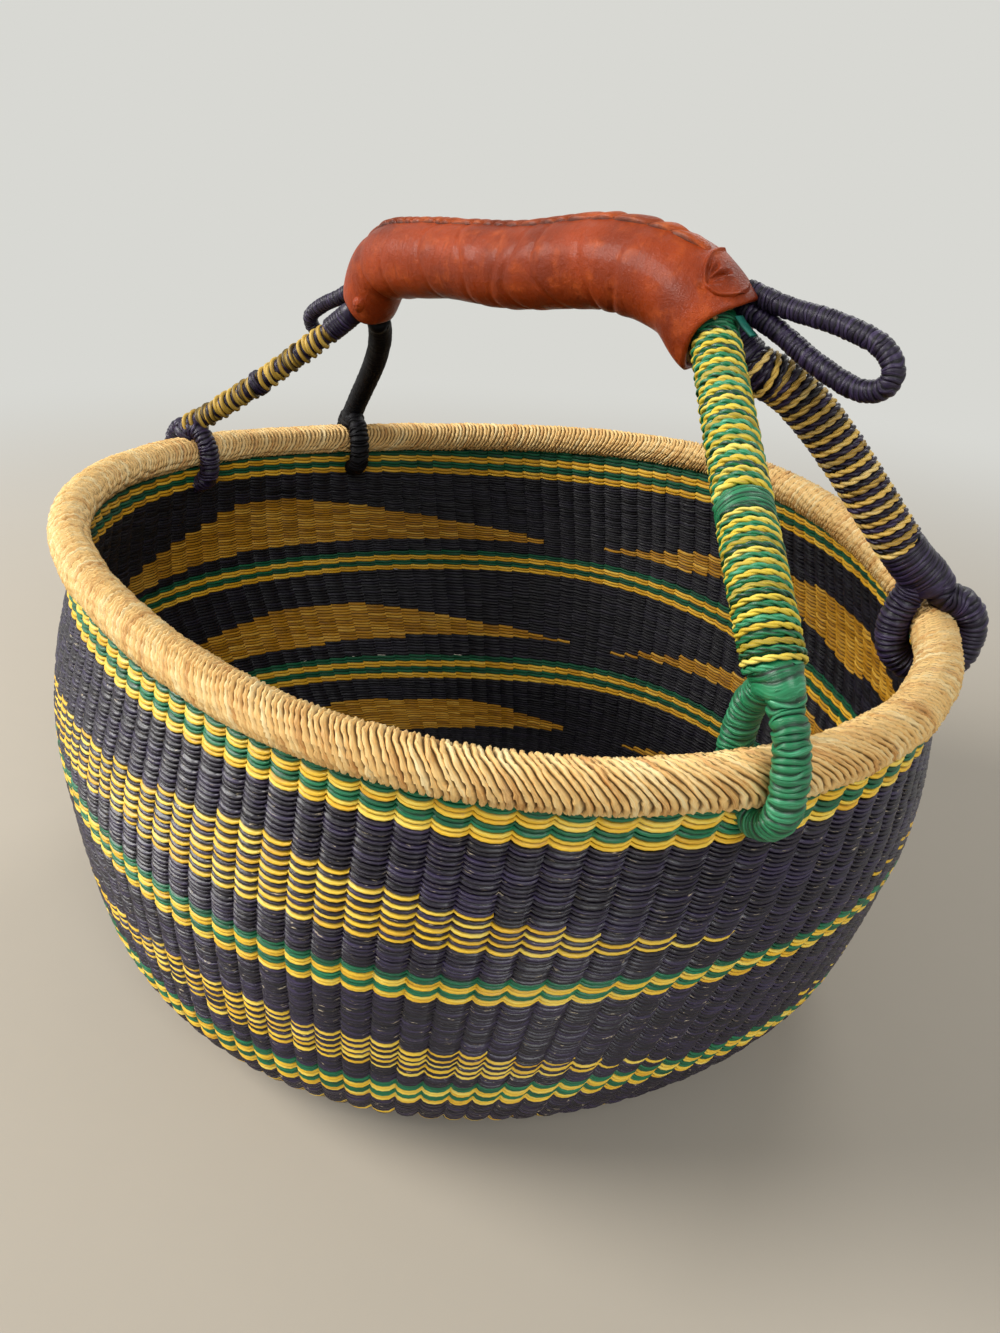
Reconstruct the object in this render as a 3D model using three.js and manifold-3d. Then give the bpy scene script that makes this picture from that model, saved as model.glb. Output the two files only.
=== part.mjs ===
// A round market basket twined from dyed grass straw, with a wrapped rim and an arched handle.
// The handle is looped round the rim by four forked rings and has a stitched leather grip.
// Millimetres, +Z up, +X along the grip, origin at the middle of the base's underside.
import * as THREE from 'three';
import { mergeVertices } from 'three/addons/utils/BufferGeometryUtils.js';
import Module from 'manifold-3d';

const wasm = await Module();
wasm.setup();

// Clearances
const fitGap = 0.3;
const runningGap = 1.1;
const cutOverrun = 4;

// Basket body
const rimRadius = 190;
const rimHeight = 209;
const rimTubeRadius = 8;
const rimWrapThickness = 2.5;
const wallThickness = 7.2;
const weftThickness = 1.6;
const ribHeight = 1;
const courseHeight = 3.55;
const coursesPerStripe = 4;
const baseRadius = 114;
const stakePairs = 56;
const stakeWidth = 7.5;
const stakeThickness = 1.1;
const wallFacets = 36;
const rimFacets = 8;

// The radius of the wall's outer face and its height, as shares of the rim's, from the base up
const wallRadiusShares = [0.7, 0.84, 0.948, 1.036, 1.045, 1.019];
const wallHeightShares = [0.013, 0.088, 0.23, 0.549, 0.727, 0.9];
const stripeLowerEdgeShares = [0.549, 0.23];

// The basket is not quite round. Waves of one to three lobes push it outwards and upwards by shares of
// the rim's radius, given at the base, the lower stripe, the middle stripe, under the rim and at the rim.
const unevenHeightShares = [0, 0.23, 0.549, 0.9, 1];
const outwardWaveShares = [
  { lobes: 1, cosineShares: [0, -0.0137, -0.0314, 0, 0], sineShares: [0, -0.025, -0.0148, 0, 0] },
  { lobes: 2, cosineShares: [0, 0.0295, 0.0538, 0.0583, 0.0612], sineShares: [0, 0.0467, 0.0042, -0.0416, -0.0464] },
  { lobes: 3, cosineShares: [0, -0.0131, -0.0071, 0.0145, 0.0183], sineShares: [0, -0.0033, -0.0038, -0.0214, -0.0379] },
];
const upwardWaveShares = [
  { lobes: 1, cosineShares: [0, -0.0227, -0.0216, 0, 0], sineShares: [0, 0.0079, -0.0072, 0, 0] },
  { lobes: 2, cosineShares: [0, 0.0015, 0.0028, -0.0019, -0.0048], sineShares: [0, 0.0059, -0.0065, 0.0229, 0.0128] },
  { lobes: 3, cosineShares: [0, 0.0109, 0.0151, -0.008, 0.002], sineShares: [0, -0.0279, -0.0229, -0.0099, -0.0093] },
];

// Handle
const handleRise = 112;
const gripHalfSpan = 104;
const gripSetBack = 7.6;
const leatherThickness = 2;
const wrapThickness = 1.2;
const ringSlack = 4;
const raisedCrotch = 12;
const ringStub = 5;
const ringSteps = 22;
const legFacets = 8;
const legSteps = 6;
const longLegSteps = 8;
const strandFacets = 6;

// The grip's centreline and its outer radius, as shares of its half span, the rise and its radius
const gripRadius = 16;
const gripAlongShares = [-1.01, -0.89, -0.55, 0, 0.53, 0.83, 0.99];
const gripRiseShares = [0.75, 0.92, 0.98, 1, 1.05, 1, 0.89];
const gripRadiusShares = [0.84, 1.05, 0.98, 1, 1.02, 1.06, 1.12];

// Each leg has a ring round the rim; pulls are how far the curve leaves each end, as shares of the rise
const legs = [
  {
    name: 'front_right', side: 1, ringAngle: -22, radius: 8.8, strandRadius: 5, raised: raisedCrotch,
    color: '#14704a', mouthShares: [-0.02, -0.02, 0.9], leaveShares: [0.28, -0.23, -0.25],
    arriveShares: [-0.14, 0.033, 0.24],
    windings: [
      { name: 'winding_yellow_close', turns: 12, fromShare: 0.09, toShare: 0.41, strand: 1, color: '#e3b93a' },
      { name: 'winding_yellow_open', turns: 12, fromShare: 0.45, toShare: 0.95, strand: 1, color: '#e8bf3c' },
    ],
  },
  {
    name: 'back_right', side: 1, ringAngle: 20.5, radius: 8.8, strandRadius: 5.4, raised: 0,
    color: '#2a2636', mouthShares: [0.09, 0.07, 0.79], leaveShares: [0.19, 0.1, -0.18],
    arriveShares: [-0.134, -0.13, 0.09],
    windings: [
      { name: 'winding_gold_back', turns: 15, fromShare: 0.05, toShare: 0.88, strand: 1, color: '#d9b04a' },
    ],
  },
  {
    name: 'front_left', side: -1, ringAngle: 194, radius: 6, strandRadius: 5, raised: 0,
    color: '#27233a', mouthShares: [0.06, -0.06, 0.715], leaveShares: [0.226, -0.135, -0.21],
    arriveShares: [-0.186, 0.116, 0.116],
    windings: [
      { name: 'winding_gold_front', turns: 15, fromShare: 0.14, toShare: 0.9, strand: 0.9, color: '#c99a34' },
    ],
  },
  {
    name: 'back_left', side: -1, ringAngle: 163.5, radius: 6, strandRadius: 5, raised: 0,
    color: '#15131c', mouthShares: [0.015, 0.07, 0.68], leaveShares: [0.206, 0.1875, -0.175],
    arriveShares: [-0.09, 0.007, 0.171],
    windings: [],
  },
];

// Hanging loops at the two ends of the grip, flat, drooping and rolled about their length
const loopStrandRadius = 3.9;
const loops = [
  { name: 'end_loop_right', side: 1, length: 56, width: 24, droop: 17, roll: 0, mouthShares: [0.72, 0.42] },
  { name: 'end_loop_left', side: -1, length: 42, width: 22.5, droop: 31, roll: -40, mouthShares: [0.76, -0.1] },
];
const loopSteps = 20;

// Small pieces on the grip, placed along its length and by the angle from its ridge
const lacingRadius = 0.9;
const lacingWidth = 4;
const lacingStitches = 30;
const lacingFromShare = 0.2;
const lacingToShare = 0.84;
const domeRings = 8;
const tuck = { alongShare: 0.87, around: THREE.MathUtils.degToRad(38), length: 20, width: 13, height: 2.5 };
const knot = { alongShare: 0.03, around: THREE.MathUtils.degToRad(118), length: 6, width: 5, height: 2.2 };
const stripWidth = 1;
const stripThickness = 4;
const stripLength = 12;
const stripMouthShares = [0.55, -0.1];

const palette = {
  straw: '#d8b577', strawCore: '#b99760', green: '#1a6a48', navy: '#2b2838', gold: '#b98d33',
  leather: '#b4552d', thread: '#7d3418', teal: '#1f7d6c',
};
const roughStraw = 0.62;
const roughLeather = 0.5;

const turn = 2 * Math.PI;
const quarter = Math.PI / 2;
const rimCoreRadius = rimTubeRadius - rimWrapThickness - 2 * fitGap;
const wallTop = rimHeight - rimCoreRadius - 2 * fitGap;
const stripeHeight = courseHeight * coursesPerStripe;

function named(name, geometry, color, roughness) {
  const material = new THREE.MeshStandardMaterial({ color, roughness, metalness: 0 });
  const mesh = new THREE.Mesh(geometry, material);
  mesh.name = name;
  return mesh;
}

// Out of round

function between(places, values, place) {
  const next = Math.max(1, places.findIndex((other) => other >= place));
  const share = (place - places[next - 1]) / (places[next] - places[next - 1]);
  return THREE.MathUtils.lerp(values[next - 1], values[next], share);
}

function waveAt(waves, angle, height) {
  const climb = THREE.MathUtils.clamp(height / rimHeight, 0, 1);
  const heights = waves.map(({ lobes, cosineShares, sineShares }) => (
    between(unevenHeightShares, cosineShares, climb) * Math.cos(lobes * angle)
    + between(unevenHeightShares, sineShares, climb) * Math.sin(lobes * angle)
  ));
  return rimRadius * heights.reduce((sum, value) => sum + value, 0);
}

// Moves a point of the round basket to its place on the real, slightly uneven one
function settle(point) {
  const angle = Math.atan2(point.y, point.x);
  const radius = Math.hypot(point.x, point.y);
  const reach = Math.min(1, radius / baseRadius);
  const grown = radius + waveAt(outwardWaveShares, angle, point.z) * reach;
  const height = point.z + waveAt(upwardWaveShares, angle, point.z) * reach;
  return new THREE.Vector3(grown * Math.cos(angle), grown * Math.sin(angle), height);
}

function settleAll(geometry) {
  const position = geometry.attributes.position;
  const point = new THREE.Vector3();
  for (let i = 0; i < position.count; i += 1) {
    point.fromBufferAttribute(position, i);
    const moved = settle(point);
    position.setXYZ(i, moved.x, moved.y, moved.z);
  }
  return geometry;
}

// Turns a closed outline of [radius, height] points round the Z axis
function revolve(outline, facets = wallFacets) {
  const points = outline.map(([radius, height]) => new THREE.Vector2(radius, height));
  points.push(points[0].clone());
  const geometry = new THREE.LatheGeometry(points, facets);
  geometry.rotateX(quarter);
  return geometry;
}

// Wall profile, from the base's edge to the top

const wallPoints = [
  new THREE.Vector2(baseRadius, 0),
  ...wallRadiusShares.map((share, i) => new THREE.Vector2(share * rimRadius, wallHeightShares[i] * rimHeight)),
  new THREE.Vector2(rimRadius + wallThickness / 2, rimHeight),
];
const wallCurve = new THREE.SplineCurve(wallPoints);

// How far along the profile a height lies, from 0 at the base's edge to 1
function climbTo(height) {
  let low = 0;
  let high = 1;
  for (let i = 0; i < 20; i += 1) {
    const middle = (low + high) / 2;
    if (wallCurve.getPointAt(middle).y < height) low = middle;
    else high = middle;
  }
  return height > 0 ? (low + high) / 2 : 0;
}

function wallPoint(climb, depth) {
  const point = wallCurve.getPointAt(climb);
  const along = climb > 0 ? wallCurve.getTangentAt(climb) : new THREE.Vector2(1, 0);
  return [point.x - along.y * depth, point.y + along.x * depth];
}

// One layer of a band of weft: its outer face goes up, its inner face comes down
function weftLayer(climbs, outerDepth, innerDepth) {
  const outer = climbs.map((climb) => wallPoint(climb, outerDepth));
  const inner = climbs.map((climb) => wallPoint(climb, innerDepth)).reverse();
  return settleAll(revolve([...outer, ...inner]));
}

// A field's inner layer, with a rib over each pair of stakes on the face that looks into the basket
function ribbedLayer(climbs) {
  const columns = 2 * stakePairs;
  const outer = climbs.map((climb) => wallPoint(climb, wallThickness - weftThickness));
  const inner = [wallThickness + fitGap - ribHeight, wallThickness + fitGap].map((depth) => (
    climbs.map((climb) => wallPoint(climb, depth)).reverse()
  ));
  const rings = Array.from({ length: columns }, (_, column) => {
    const angle = column * turn / columns;
    const share = facetShare(angle);
    return [...outer, ...inner[column % 2]].map(([radius, height]) => settle(new THREE.Vector3(
      radius * share * Math.cos(angle), radius * share * Math.sin(angle), height,
    )));
  });
  const size = rings[0].length;
  const triangles = [];
  for (let i = 0; i < columns; i += 1) joinRings(triangles, ((i + 1) % columns) * size, i * size, size);
  return geometryOf(rings.flat(), triangles);
}

// Solids for cutting

function toManifold(geometry) {
  const bare = geometry.clone();
  bare.deleteAttribute('normal');
  bare.deleteAttribute('uv');
  const merged = mergeVertices(bare, 1e-4);
  return new wasm.Manifold(new wasm.Mesh({
    numProp: 3,
    vertProperties: new Float32Array(merged.attributes.position.array),
    triVerts: new Uint32Array(merged.index.array),
  }));
}

function fromManifold(solid) {
  const mesh = solid.getMesh();
  const geometry = new THREE.BufferGeometry();
  geometry.setAttribute('position', new THREE.BufferAttribute(new Float32Array(mesh.vertProperties), 3));
  geometry.setIndex(new THREE.BufferAttribute(new Uint32Array(mesh.triVerts), 1));
  return geometry;
}

function cut(geometry, tools) {
  const whole = tools.reduce((solid, tool) => solid.subtract(toManifold(tool)), toManifold(geometry));
  return fromManifold(whole);
}

// Lofts: rings of points joined into one closed surface

function geometryOf(points, triangles) {
  const geometry = new THREE.BufferGeometry().setFromPoints(points);
  geometry.setIndex(triangles);
  return geometry;
}

function joinRings(triangles, from, to, size) {
  for (let j = 0; j < size; j += 1) {
    const next = (j + 1) % size;
    triangles.push(from + j, from + next, to + next);
    triangles.push(from + j, to + next, to + j);
  }
}

// Rings run counter-clockwise seen from the end that the loft grows towards
function cappedLoft(rings) {
  const size = rings[0].length;
  const triangles = [];
  for (let i = 0; i + 1 < rings.length; i += 1) joinRings(triangles, i * size, (i + 1) * size, size);
  const last = (rings.length - 1) * size;
  for (let j = 1; j + 1 < size; j += 1) {
    triangles.push(0, j + 1, j);
    triangles.push(last, last + j, last + j + 1);
  }
  return geometryOf(rings.flat(), triangles);
}

// An open-ended sleeve: outer rings in order, then inner rings back to the start
function sleeve(outerRings, innerRings) {
  const size = outerRings[0].length;
  const rings = [...outerRings, ...innerRings.slice().reverse()];
  const triangles = [];
  for (let i = 0; i < rings.length; i += 1) joinRings(triangles, i * size, ((i + 1) % rings.length) * size, size);
  return geometryOf(rings.flat(), triangles);
}

// Points, normals and binormals spaced evenly along a curve
function framesAlong(curve, steps) {
  const frames = curve.computeFrenetFrames(steps, false);
  return frames.tangents.map((tangent, i) => ({
    point: curve.getPointAt(i / steps), tangent, normal: frames.normals[i], binormal: frames.binormals[i],
  }));
}

function around(frame, radius, angle) {
  return frame.point.clone()
    .addScaledVector(frame.normal, radius * Math.cos(angle))
    .addScaledVector(frame.binormal, radius * Math.sin(angle));
}

function ringAt(frame, radius, facets) {
  return Array.from({ length: facets }, (_, j) => around(frame, radius, j * turn / facets));
}

// A round rod or, with a bore, a pipe along a curve
function rod(curve, radius, steps, facets, bore = 0) {
  const shape = new THREE.Shape(ringPoints(radius, facets));
  if (bore > 0) shape.holes.push(new THREE.Path(ringPoints(bore, facets).reverse()));
  return new THREE.ExtrudeGeometry(shape, { steps, bevelEnabled: false, extrudePath: curve });
}

function ringPoints(radius, facets) {
  return Array.from({ length: facets }, (_, j) => {
    const angle = j * turn / facets;
    return new THREE.Vector2(radius * Math.cos(angle), radius * Math.sin(angle));
  });
}

// Places on the rim

// The rim is facetted, so its centreline runs straight from corner to corner
function rimCentre(angle) {
  const facet = turn / wallFacets;
  const place = angle / facet;
  const corner = (index) => settle(new THREE.Vector3(
    rimRadius * Math.cos(index * facet), rimRadius * Math.sin(index * facet), rimHeight,
  ));
  return corner(Math.floor(place)).lerp(corner(Math.floor(place) + 1), place - Math.floor(place));
}

// The level direction square to the rim, away from the basket's middle
function rimOutward(angle) {
  const step = turn / 360;
  const along = rimCentre(angle + step).sub(rimCentre(angle - step));
  return new THREE.Vector3(along.y, -along.x, 0).normalize();
}

function onRim(angle, outward, up) {
  return rimCentre(angle).addScaledVector(rimOutward(angle), outward).add(new THREE.Vector3(0, 0, up));
}

// Rings of the handle round the rim

// How far below the rim's centreline the lowest strand of any ring reaches
function ringRadius(leg) {
  return rimTubeRadius + runningGap + leg.strandRadius;
}

function crotchOf(leg) {
  const reach = ringRadius(leg);
  const half = leg.strandRadius + fitGap / 2;
  return Math.sqrt(reach * reach - half * half) + leg.raised;
}

function ringTop(leg) {
  return crotchOf(leg) + ringStub;
}

// A taut ring touches the rim from below; a slack one sits on it with its fork
function ringDrop(leg) {
  return leg.raised > 0 ? 0 : ringSlack;
}

function ringCurve(leg) {
  const angle = THREE.MathUtils.degToRad(leg.ringAngle);
  const reach = ringRadius(leg);
  const half = leg.strandRadius + fitGap / 2;
  const crotch = crotchOf(leg);
  const drop = ringDrop(leg);
  const spread = Math.acos(half / reach);
  const tall = crotch / Math.sin(spread);
  const steps = 3;
  const side = [[half, ringTop(leg)]];
  for (let i = 0; i <= steps; i += 1) {
    const a = spread * (1 - i / steps);
    side.push([reach * Math.cos(a), tall * Math.sin(a)]);
  }
  for (let i = 1; i < steps; i += 1) {
    const a = quarter * i / steps;
    side.push([reach * Math.cos(a), -drop - reach * Math.sin(a)]);
  }
  const mirrored = side.map(([outward, up]) => [-outward, up]).reverse();
  const points = [...side, [0, -drop - reach], ...mirrored];
  return new THREE.CatmullRomCurve3(points.map(([outward, up]) => onRim(angle, outward, up)));
}

// The slot in the weave that each ring passes through, deep enough for the handle's play
const slotDepth = Math.max(...legs.map((leg) => ringRadius(leg) + leg.strandRadius)) + ringSlack + 2 * runningGap;
const slotFloor = rimHeight - slotDepth;

function slotHalfWidth(leg) {
  return leg.strandRadius + 2 * runningGap;
}

function slotTool(leg) {
  const angle = THREE.MathUtils.degToRad(leg.ringAngle);
  const bulge = (Math.max(...wallRadiusShares) - 1) * rimRadius;
  const depth = 2 * (wallThickness + bulge + cutOverrun);
  const box = new THREE.BoxGeometry(depth, 2 * slotHalfWidth(leg), slotDepth + cutOverrun);
  const outward = rimOutward(angle);
  box.rotateZ(Math.atan2(outward.y, outward.x));
  const middle = onRim(angle, 0, cutOverrun / 2 - slotDepth / 2);
  box.translate(middle.x, middle.y, middle.z);
  return box;
}

// Weft bands, top to bottom: striped courses and dark fields between them

// The top stripe's band also holds the course below it that keeps the ring slots closed
const stripeEdges = stripeLowerEdgeShares.map((share) => {
  const low = share * rimHeight;
  return { low, high: low + stripeHeight };
});
stripeEdges.unshift({ low: slotFloor - courseHeight, high: wallTop });

const bands = [];
stripeEdges.forEach((edge, i) => {
  const last = i + 1 === stripeEdges.length;
  const below = last ? 0 : stripeEdges[i + 1].high;
  const steps = last ? 4 : 2;
  const stripe = { low: edge.low, high: edge.high, steps: 1, color: palette.green, ribbed: false };
  const field = { low: below, high: edge.low, steps, color: palette.navy, ribbed: true };
  bands.push({ name: `weft_stripe_${i + 1}`, ...stripe }, { name: `weft_field_${i + 1}`, ...field });
});

function bandClimbs(band, gap) {
  const low = climbTo(band.low > 0 ? band.low + gap / 2 : 0);
  const high = climbTo(band.high < wallTop ? band.high - gap / 2 : band.high);
  return Array.from({ length: band.steps + 1 }, (_, i) => THREE.MathUtils.lerp(low, high, i / band.steps));
}

const slotTools = legs.map(slotTool);
const basket = new THREE.Group();
for (const band of bands) {
  const climbs = bandClimbs(band, fitGap);
  const reachesSlots = band.high > slotFloor;
  const outer = weftLayer(climbs, 0, weftThickness);
  const inner = band.ribbed ? ribbedLayer(climbs) : weftLayer(climbs, wallThickness - weftThickness, wallThickness);
  for (const [name, layer] of [[`${band.name}_outer`, outer], [`${band.name}_inner`, inner]]) {
    basket.add(named(name, reachesSlots ? cut(layer, slotTools) : layer, band.color, roughStraw));
  }
}

// Base: two layers of weft with the stakes fanning out between them

function baseDisc(low, high) {
  const edge = baseRadius - fitGap;
  const outline = [[0, low], [edge, low], [edge, high], [0, high]];
  return settleAll(revolve(outline));
}

basket.add(named('base_weft_under', baseDisc(0, weftThickness), palette.navy, roughStraw));
basket.add(named('base_weft_upper', baseDisc(wallThickness - weftThickness, wallThickness), palette.navy, roughStraw));

// Warp stakes, joined in pairs: crossed in the middle of the base, they fan out and climb to the rim

const stakeDepth = wallThickness / 2;
const crossingThickness = 1.6;
const stakeClimbs = bands.flatMap((band) => bandClimbs(band, 0).slice(0, -1)).sort((a, b) => a - b);

// Inside this radius the stakes lie edge to edge and crossed, as one disc
const crossingRadius = stakePairs * stakeWidth / turn + stakeWidth / 2;

// The layers are facetted, so a stake between them follows the same facets
function facetShare(angle) {
  const facet = turn / wallFacets;
  const within = ((angle % facet) + facet) % facet - facet / 2;
  return Math.cos(facet / 2) / Math.cos(within);
}

function besideSlot(angle) {
  return legs.some((leg) => {
    const away = angle - THREE.MathUtils.degToRad(leg.ringAngle);
    const apart = Math.abs(Math.atan2(Math.sin(away), Math.cos(away))) * rimRadius;
    return apart < slotHalfWidth(leg) + stakeWidth;
  });
}

function stake(index) {
  const angle = (index + 0.5) * turn / stakePairs;
  const top = climbTo(besideSlot(angle) ? slotFloor - fitGap : wallTop);
  const climbs = [...stakeClimbs.filter((climb) => climb < top), top];
  const places = [[crossingRadius - stakeWidth, stakeDepth], ...climbs.map((climb) => wallPoint(climb, stakeDepth))];
  const sideways = new THREE.Vector2(-Math.sin(angle), Math.cos(angle)).multiplyScalar(stakeWidth / 2);
  const rings = places.map(([radius, height], i) => {
    const [nextRadius, nextHeight] = places[Math.min(i + 1, places.length - 1)];
    const [lastRadius, lastHeight] = places[Math.max(i - 1, 0)];
    const along = new THREE.Vector2(nextRadius - lastRadius, nextHeight - lastHeight).normalize();
    const share = facetShare(angle);
    const inset = stakeThickness / 2;
    const inner = [radius - along.y * inset, height + along.x * inset];
    const outer = [radius + along.y * inset, height - along.x * inset];
    const at = ([r, h], side) => settle(new THREE.Vector3(
      r * share * Math.cos(angle) + side * sideways.x,
      r * share * Math.sin(angle) + side * sideways.y,
      h,
    ));
    return [at(outer, 0), at(inner, 1), at(inner, -1)];
  });
  return cappedLoft(rings);
}

function stakeCrossing() {
  const low = stakeDepth - crossingThickness / 2;
  const high = stakeDepth + crossingThickness / 2;
  const outline = [[0, low], [crossingRadius, low], [crossingRadius, high], [0, high]];
  return settleAll(revolve(outline, stakePairs));
}

function warpStakes() {
  let whole = toManifold(stakeCrossing());
  for (let i = 0; i < stakePairs; i += 1) whole = whole.add(toManifold(stake(i)));
  return fromManifold(whole);
}

basket.add(named('warp_stakes', warpStakes(), palette.strawCore, roughStraw));

// Rim: a bundle of straw under a wrapping that is open below, where the wall enters it

function rimCore() {
  const facets = 6;
  const outline = Array.from({ length: facets }, (_, j) => {
    const angle = j * turn / facets;
    return [rimRadius + rimCoreRadius * Math.cos(angle), rimHeight + rimCoreRadius * Math.sin(angle)];
  });
  return settleAll(revolve(outline));
}

function rimWrap() {
  const mouth = wallThickness / 2 + 2 * fitGap;
  const arc = (radius, facets) => {
    const start = -Math.acos(mouth / radius);
    const sweep = Math.PI - 2 * start;
    return Array.from({ length: facets + 1 }, (_, j) => {
      const angle = start + sweep * j / facets;
      return [rimRadius + radius * Math.cos(angle), rimHeight + radius * Math.sin(angle)];
    });
  };
  const outer = arc(rimTubeRadius, rimFacets);
  const inner = arc(rimTubeRadius - rimWrapThickness, rimFacets - 2).reverse();
  return settleAll(revolve([...outer, ...inner]));
}

basket.add(named('rim_core', rimCore(), palette.strawCore, roughStraw));
basket.add(named('rim_wrap', rimWrap(), palette.straw, roughStraw));

// Grip

const gripCurve = new THREE.CatmullRomCurve3(gripAlongShares.map((share, i) => new THREE.Vector3(
  share * gripHalfSpan, gripSetBack, rimHeight + gripRiseShares[i] * handleRise,
)));

function shareAt(shares, t) {
  const place = t * (shares.length - 1);
  const low = Math.min(Math.floor(place), shares.length - 2);
  return THREE.MathUtils.lerp(shares[low], shares[low + 1], place - low);
}

const gripSteps = 9;
const gripFacets = 10;
const handle = new THREE.Group();

// The grip's curve lies in an upright plane along X; the normal points up
function gripFrame(t) {
  const tangent = gripCurve.getTangentAt(t);
  const normal = new THREE.Vector3(-tangent.z, 0, tangent.x);
  return { point: gripCurve.getPointAt(t), tangent, normal, binormal: new THREE.Vector3().crossVectors(tangent, normal) };
}

function gripOuterRadius(t) {
  return gripRadius * shareAt(gripRadiusShares, t);
}

function gripRings(offset) {
  return Array.from({ length: gripSteps + 1 }, (_, i) => {
    const t = i / gripSteps;
    return ringAt(gripFrame(t), gripOuterRadius(t) + offset, gripFacets);
  });
}

const leather = sleeve(gripRings(0), gripRings(-leatherThickness));
handle.add(named('leather_grip', leather, palette.leather, roughLeather));
handle.add(named('grip_bundle', cappedLoft(gripRings(-leatherThickness - fitGap)), palette.strawCore, roughStraw));

// Trimming planes: everything on the far side of the plane from where it faces is cut away

function halfSpace(point, facing) {
  const size = 2 * handleRise;
  const box = new THREE.BoxGeometry(size, size, size);
  box.translate(0, 0, -size / 2);
  box.applyQuaternion(new THREE.Quaternion().setFromUnitVectors(new THREE.Vector3(0, 0, 1), facing));
  box.translate(point.x, point.y, point.z);
  return box;
}

// The plane just outside a mouth of the grip, at its right (1) or left (-1) end
function mouthFrame(side) {
  const frame = gripFrame(side > 0 ? 1 : 0);
  return { ...frame, facing: frame.tangent.clone().multiplyScalar(side) };
}

function mouthTool(side) {
  const mouth = mouthFrame(side);
  return halfSpace(mouth.point.clone().addScaledVector(mouth.facing, fitGap), mouth.facing);
}

// Legs: a core bundle, a wrapping round it and strands wound on top

function legCurve(leg) {
  const end = leg.side > 0 ? gripAlongShares.at(-1) : gripAlongShares[0];
  const mouth = new THREE.Vector3(
    (end + leg.side * leg.mouthShares[0]) * gripHalfSpan,
    gripSetBack + leg.mouthShares[1] * handleRise,
    rimHeight + leg.mouthShares[2] * handleRise,
  );
  const foot = onRim(THREE.MathUtils.degToRad(leg.ringAngle), 0, ringTop(leg));
  const pull = (shares, from) => new THREE.Vector3(
    from.x + leg.side * shares[0] * handleRise,
    from.y + shares[1] * handleRise,
    from.z + shares[2] * handleRise,
  );
  return new THREE.CubicBezierCurve3(mouth, pull(leg.leaveShares, mouth), pull(leg.arriveShares, foot), foot);
}

function legOverrun(leg) {
  return leg.radius + cutOverrun;
}

// The same route run on past both ends, for what is then trimmed to the grip's mouth and the ring
function longLegCurve(leg) {
  const curve = legCurve(leg);
  const extra = legOverrun(leg);
  const points = curve.getSpacedPoints(legSteps);
  points.unshift(points[0].clone().addScaledVector(curve.getTangentAt(0), -extra));
  points.push(points.at(-1).clone().addScaledVector(curve.getTangentAt(1), extra));
  return new THREE.CatmullRomCurve3(points);
}

function trimLeg(leg, geometry) {
  const angle = THREE.MathUtils.degToRad(leg.ringAngle);
  const seat = onRim(angle, 0, ringTop(leg) + fitGap);
  return cut(geometry, [mouthTool(leg.side), halfSpace(seat, new THREE.Vector3(0, 0, 1))]);
}

// A frame part of the way along a list of frames, as the straight sides of a facetted rod run
function frameBetween(frames, share) {
  const place = share * (frames.length - 1);
  const low = Math.min(Math.floor(place), frames.length - 2);
  const blend = (key) => frames[low][key].clone().lerp(frames[low + 1][key], place - low);
  return { point: blend('point'), normal: blend('normal'), binormal: blend('binormal') };
}

// Strands lie on the wrapping's corners, so each turn has as many steps as the wrapping has facets
function windingPlaces(leg, winding, long) {
  const frames = framesAlong(long, longLegSteps);
  const overrun = legOverrun(leg) / long.getLength();
  const steps = winding.turns * legFacets;
  const radius = wrapRadius(leg) + winding.strand + 2 * fitGap;
  const places = Array.from({ length: steps + 1 }, (_, i) => {
    const share = THREE.MathUtils.lerp(winding.fromShare, winding.toShare, i / steps);
    const frame = frameBetween(frames, THREE.MathUtils.lerp(overrun, 1 - overrun, share));
    return { point: around(frame, radius, i * turn / legFacets), axis: frame.point };
  });
  return [runOn(places[0], places[1], winding), ...places, runOn(places.at(-1), places.at(-2), winding)];
}

// The end of a strand, running straight on from its last place
function runOn(last, before, winding) {
  const step = last.point.clone().sub(before.point).setLength(2 * winding.strand);
  return { point: last.point.clone().add(step), axis: last.axis };
}

function wrapRadius(leg) {
  const strand = leg.windings.length > 0 ? 2 * leg.windings[0].strand + fitGap : 0;
  return leg.radius - strand;
}

// A strand of square section through a list of places, turned to lie flat on what it winds round
function strandAlong(places, radius) {
  const rings = places.map(({ point, axis }, i) => {
    const ahead = places[Math.min(i + 1, places.length - 1)].point;
    const behind = places[Math.max(i - 1, 0)].point;
    const tangent = ahead.clone().sub(behind).normalize();
    const normal = point.clone().sub(axis);
    normal.addScaledVector(tangent, -normal.dot(tangent)).normalize();
    return ringAt({ point, normal, binormal: new THREE.Vector3().crossVectors(tangent, normal) }, radius, 4);
  });
  return cappedLoft(rings);
}

// The least distance between two turns' surfaces, over points most of a turn apart
function leastGap(places, radius) {
  let least = Infinity;
  for (let i = 0; i < places.length; i += 1) {
    for (let j = i + legFacets - 2; j < places.length; j += 1) {
      least = Math.min(least, places[i].point.distanceTo(places[j].point) - 2 * radius);
    }
  }
  return least;
}

// The second leg of a pair is hollowed where it nestles against the first at the mouth
function besideTools(leg) {
  const first = legs.find((other) => other.side === leg.side);
  if (first === leg) return [];
  return [rod(longLegCurve(first), first.radius + 2 * fitGap, longLegSteps, legFacets)];
}

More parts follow.
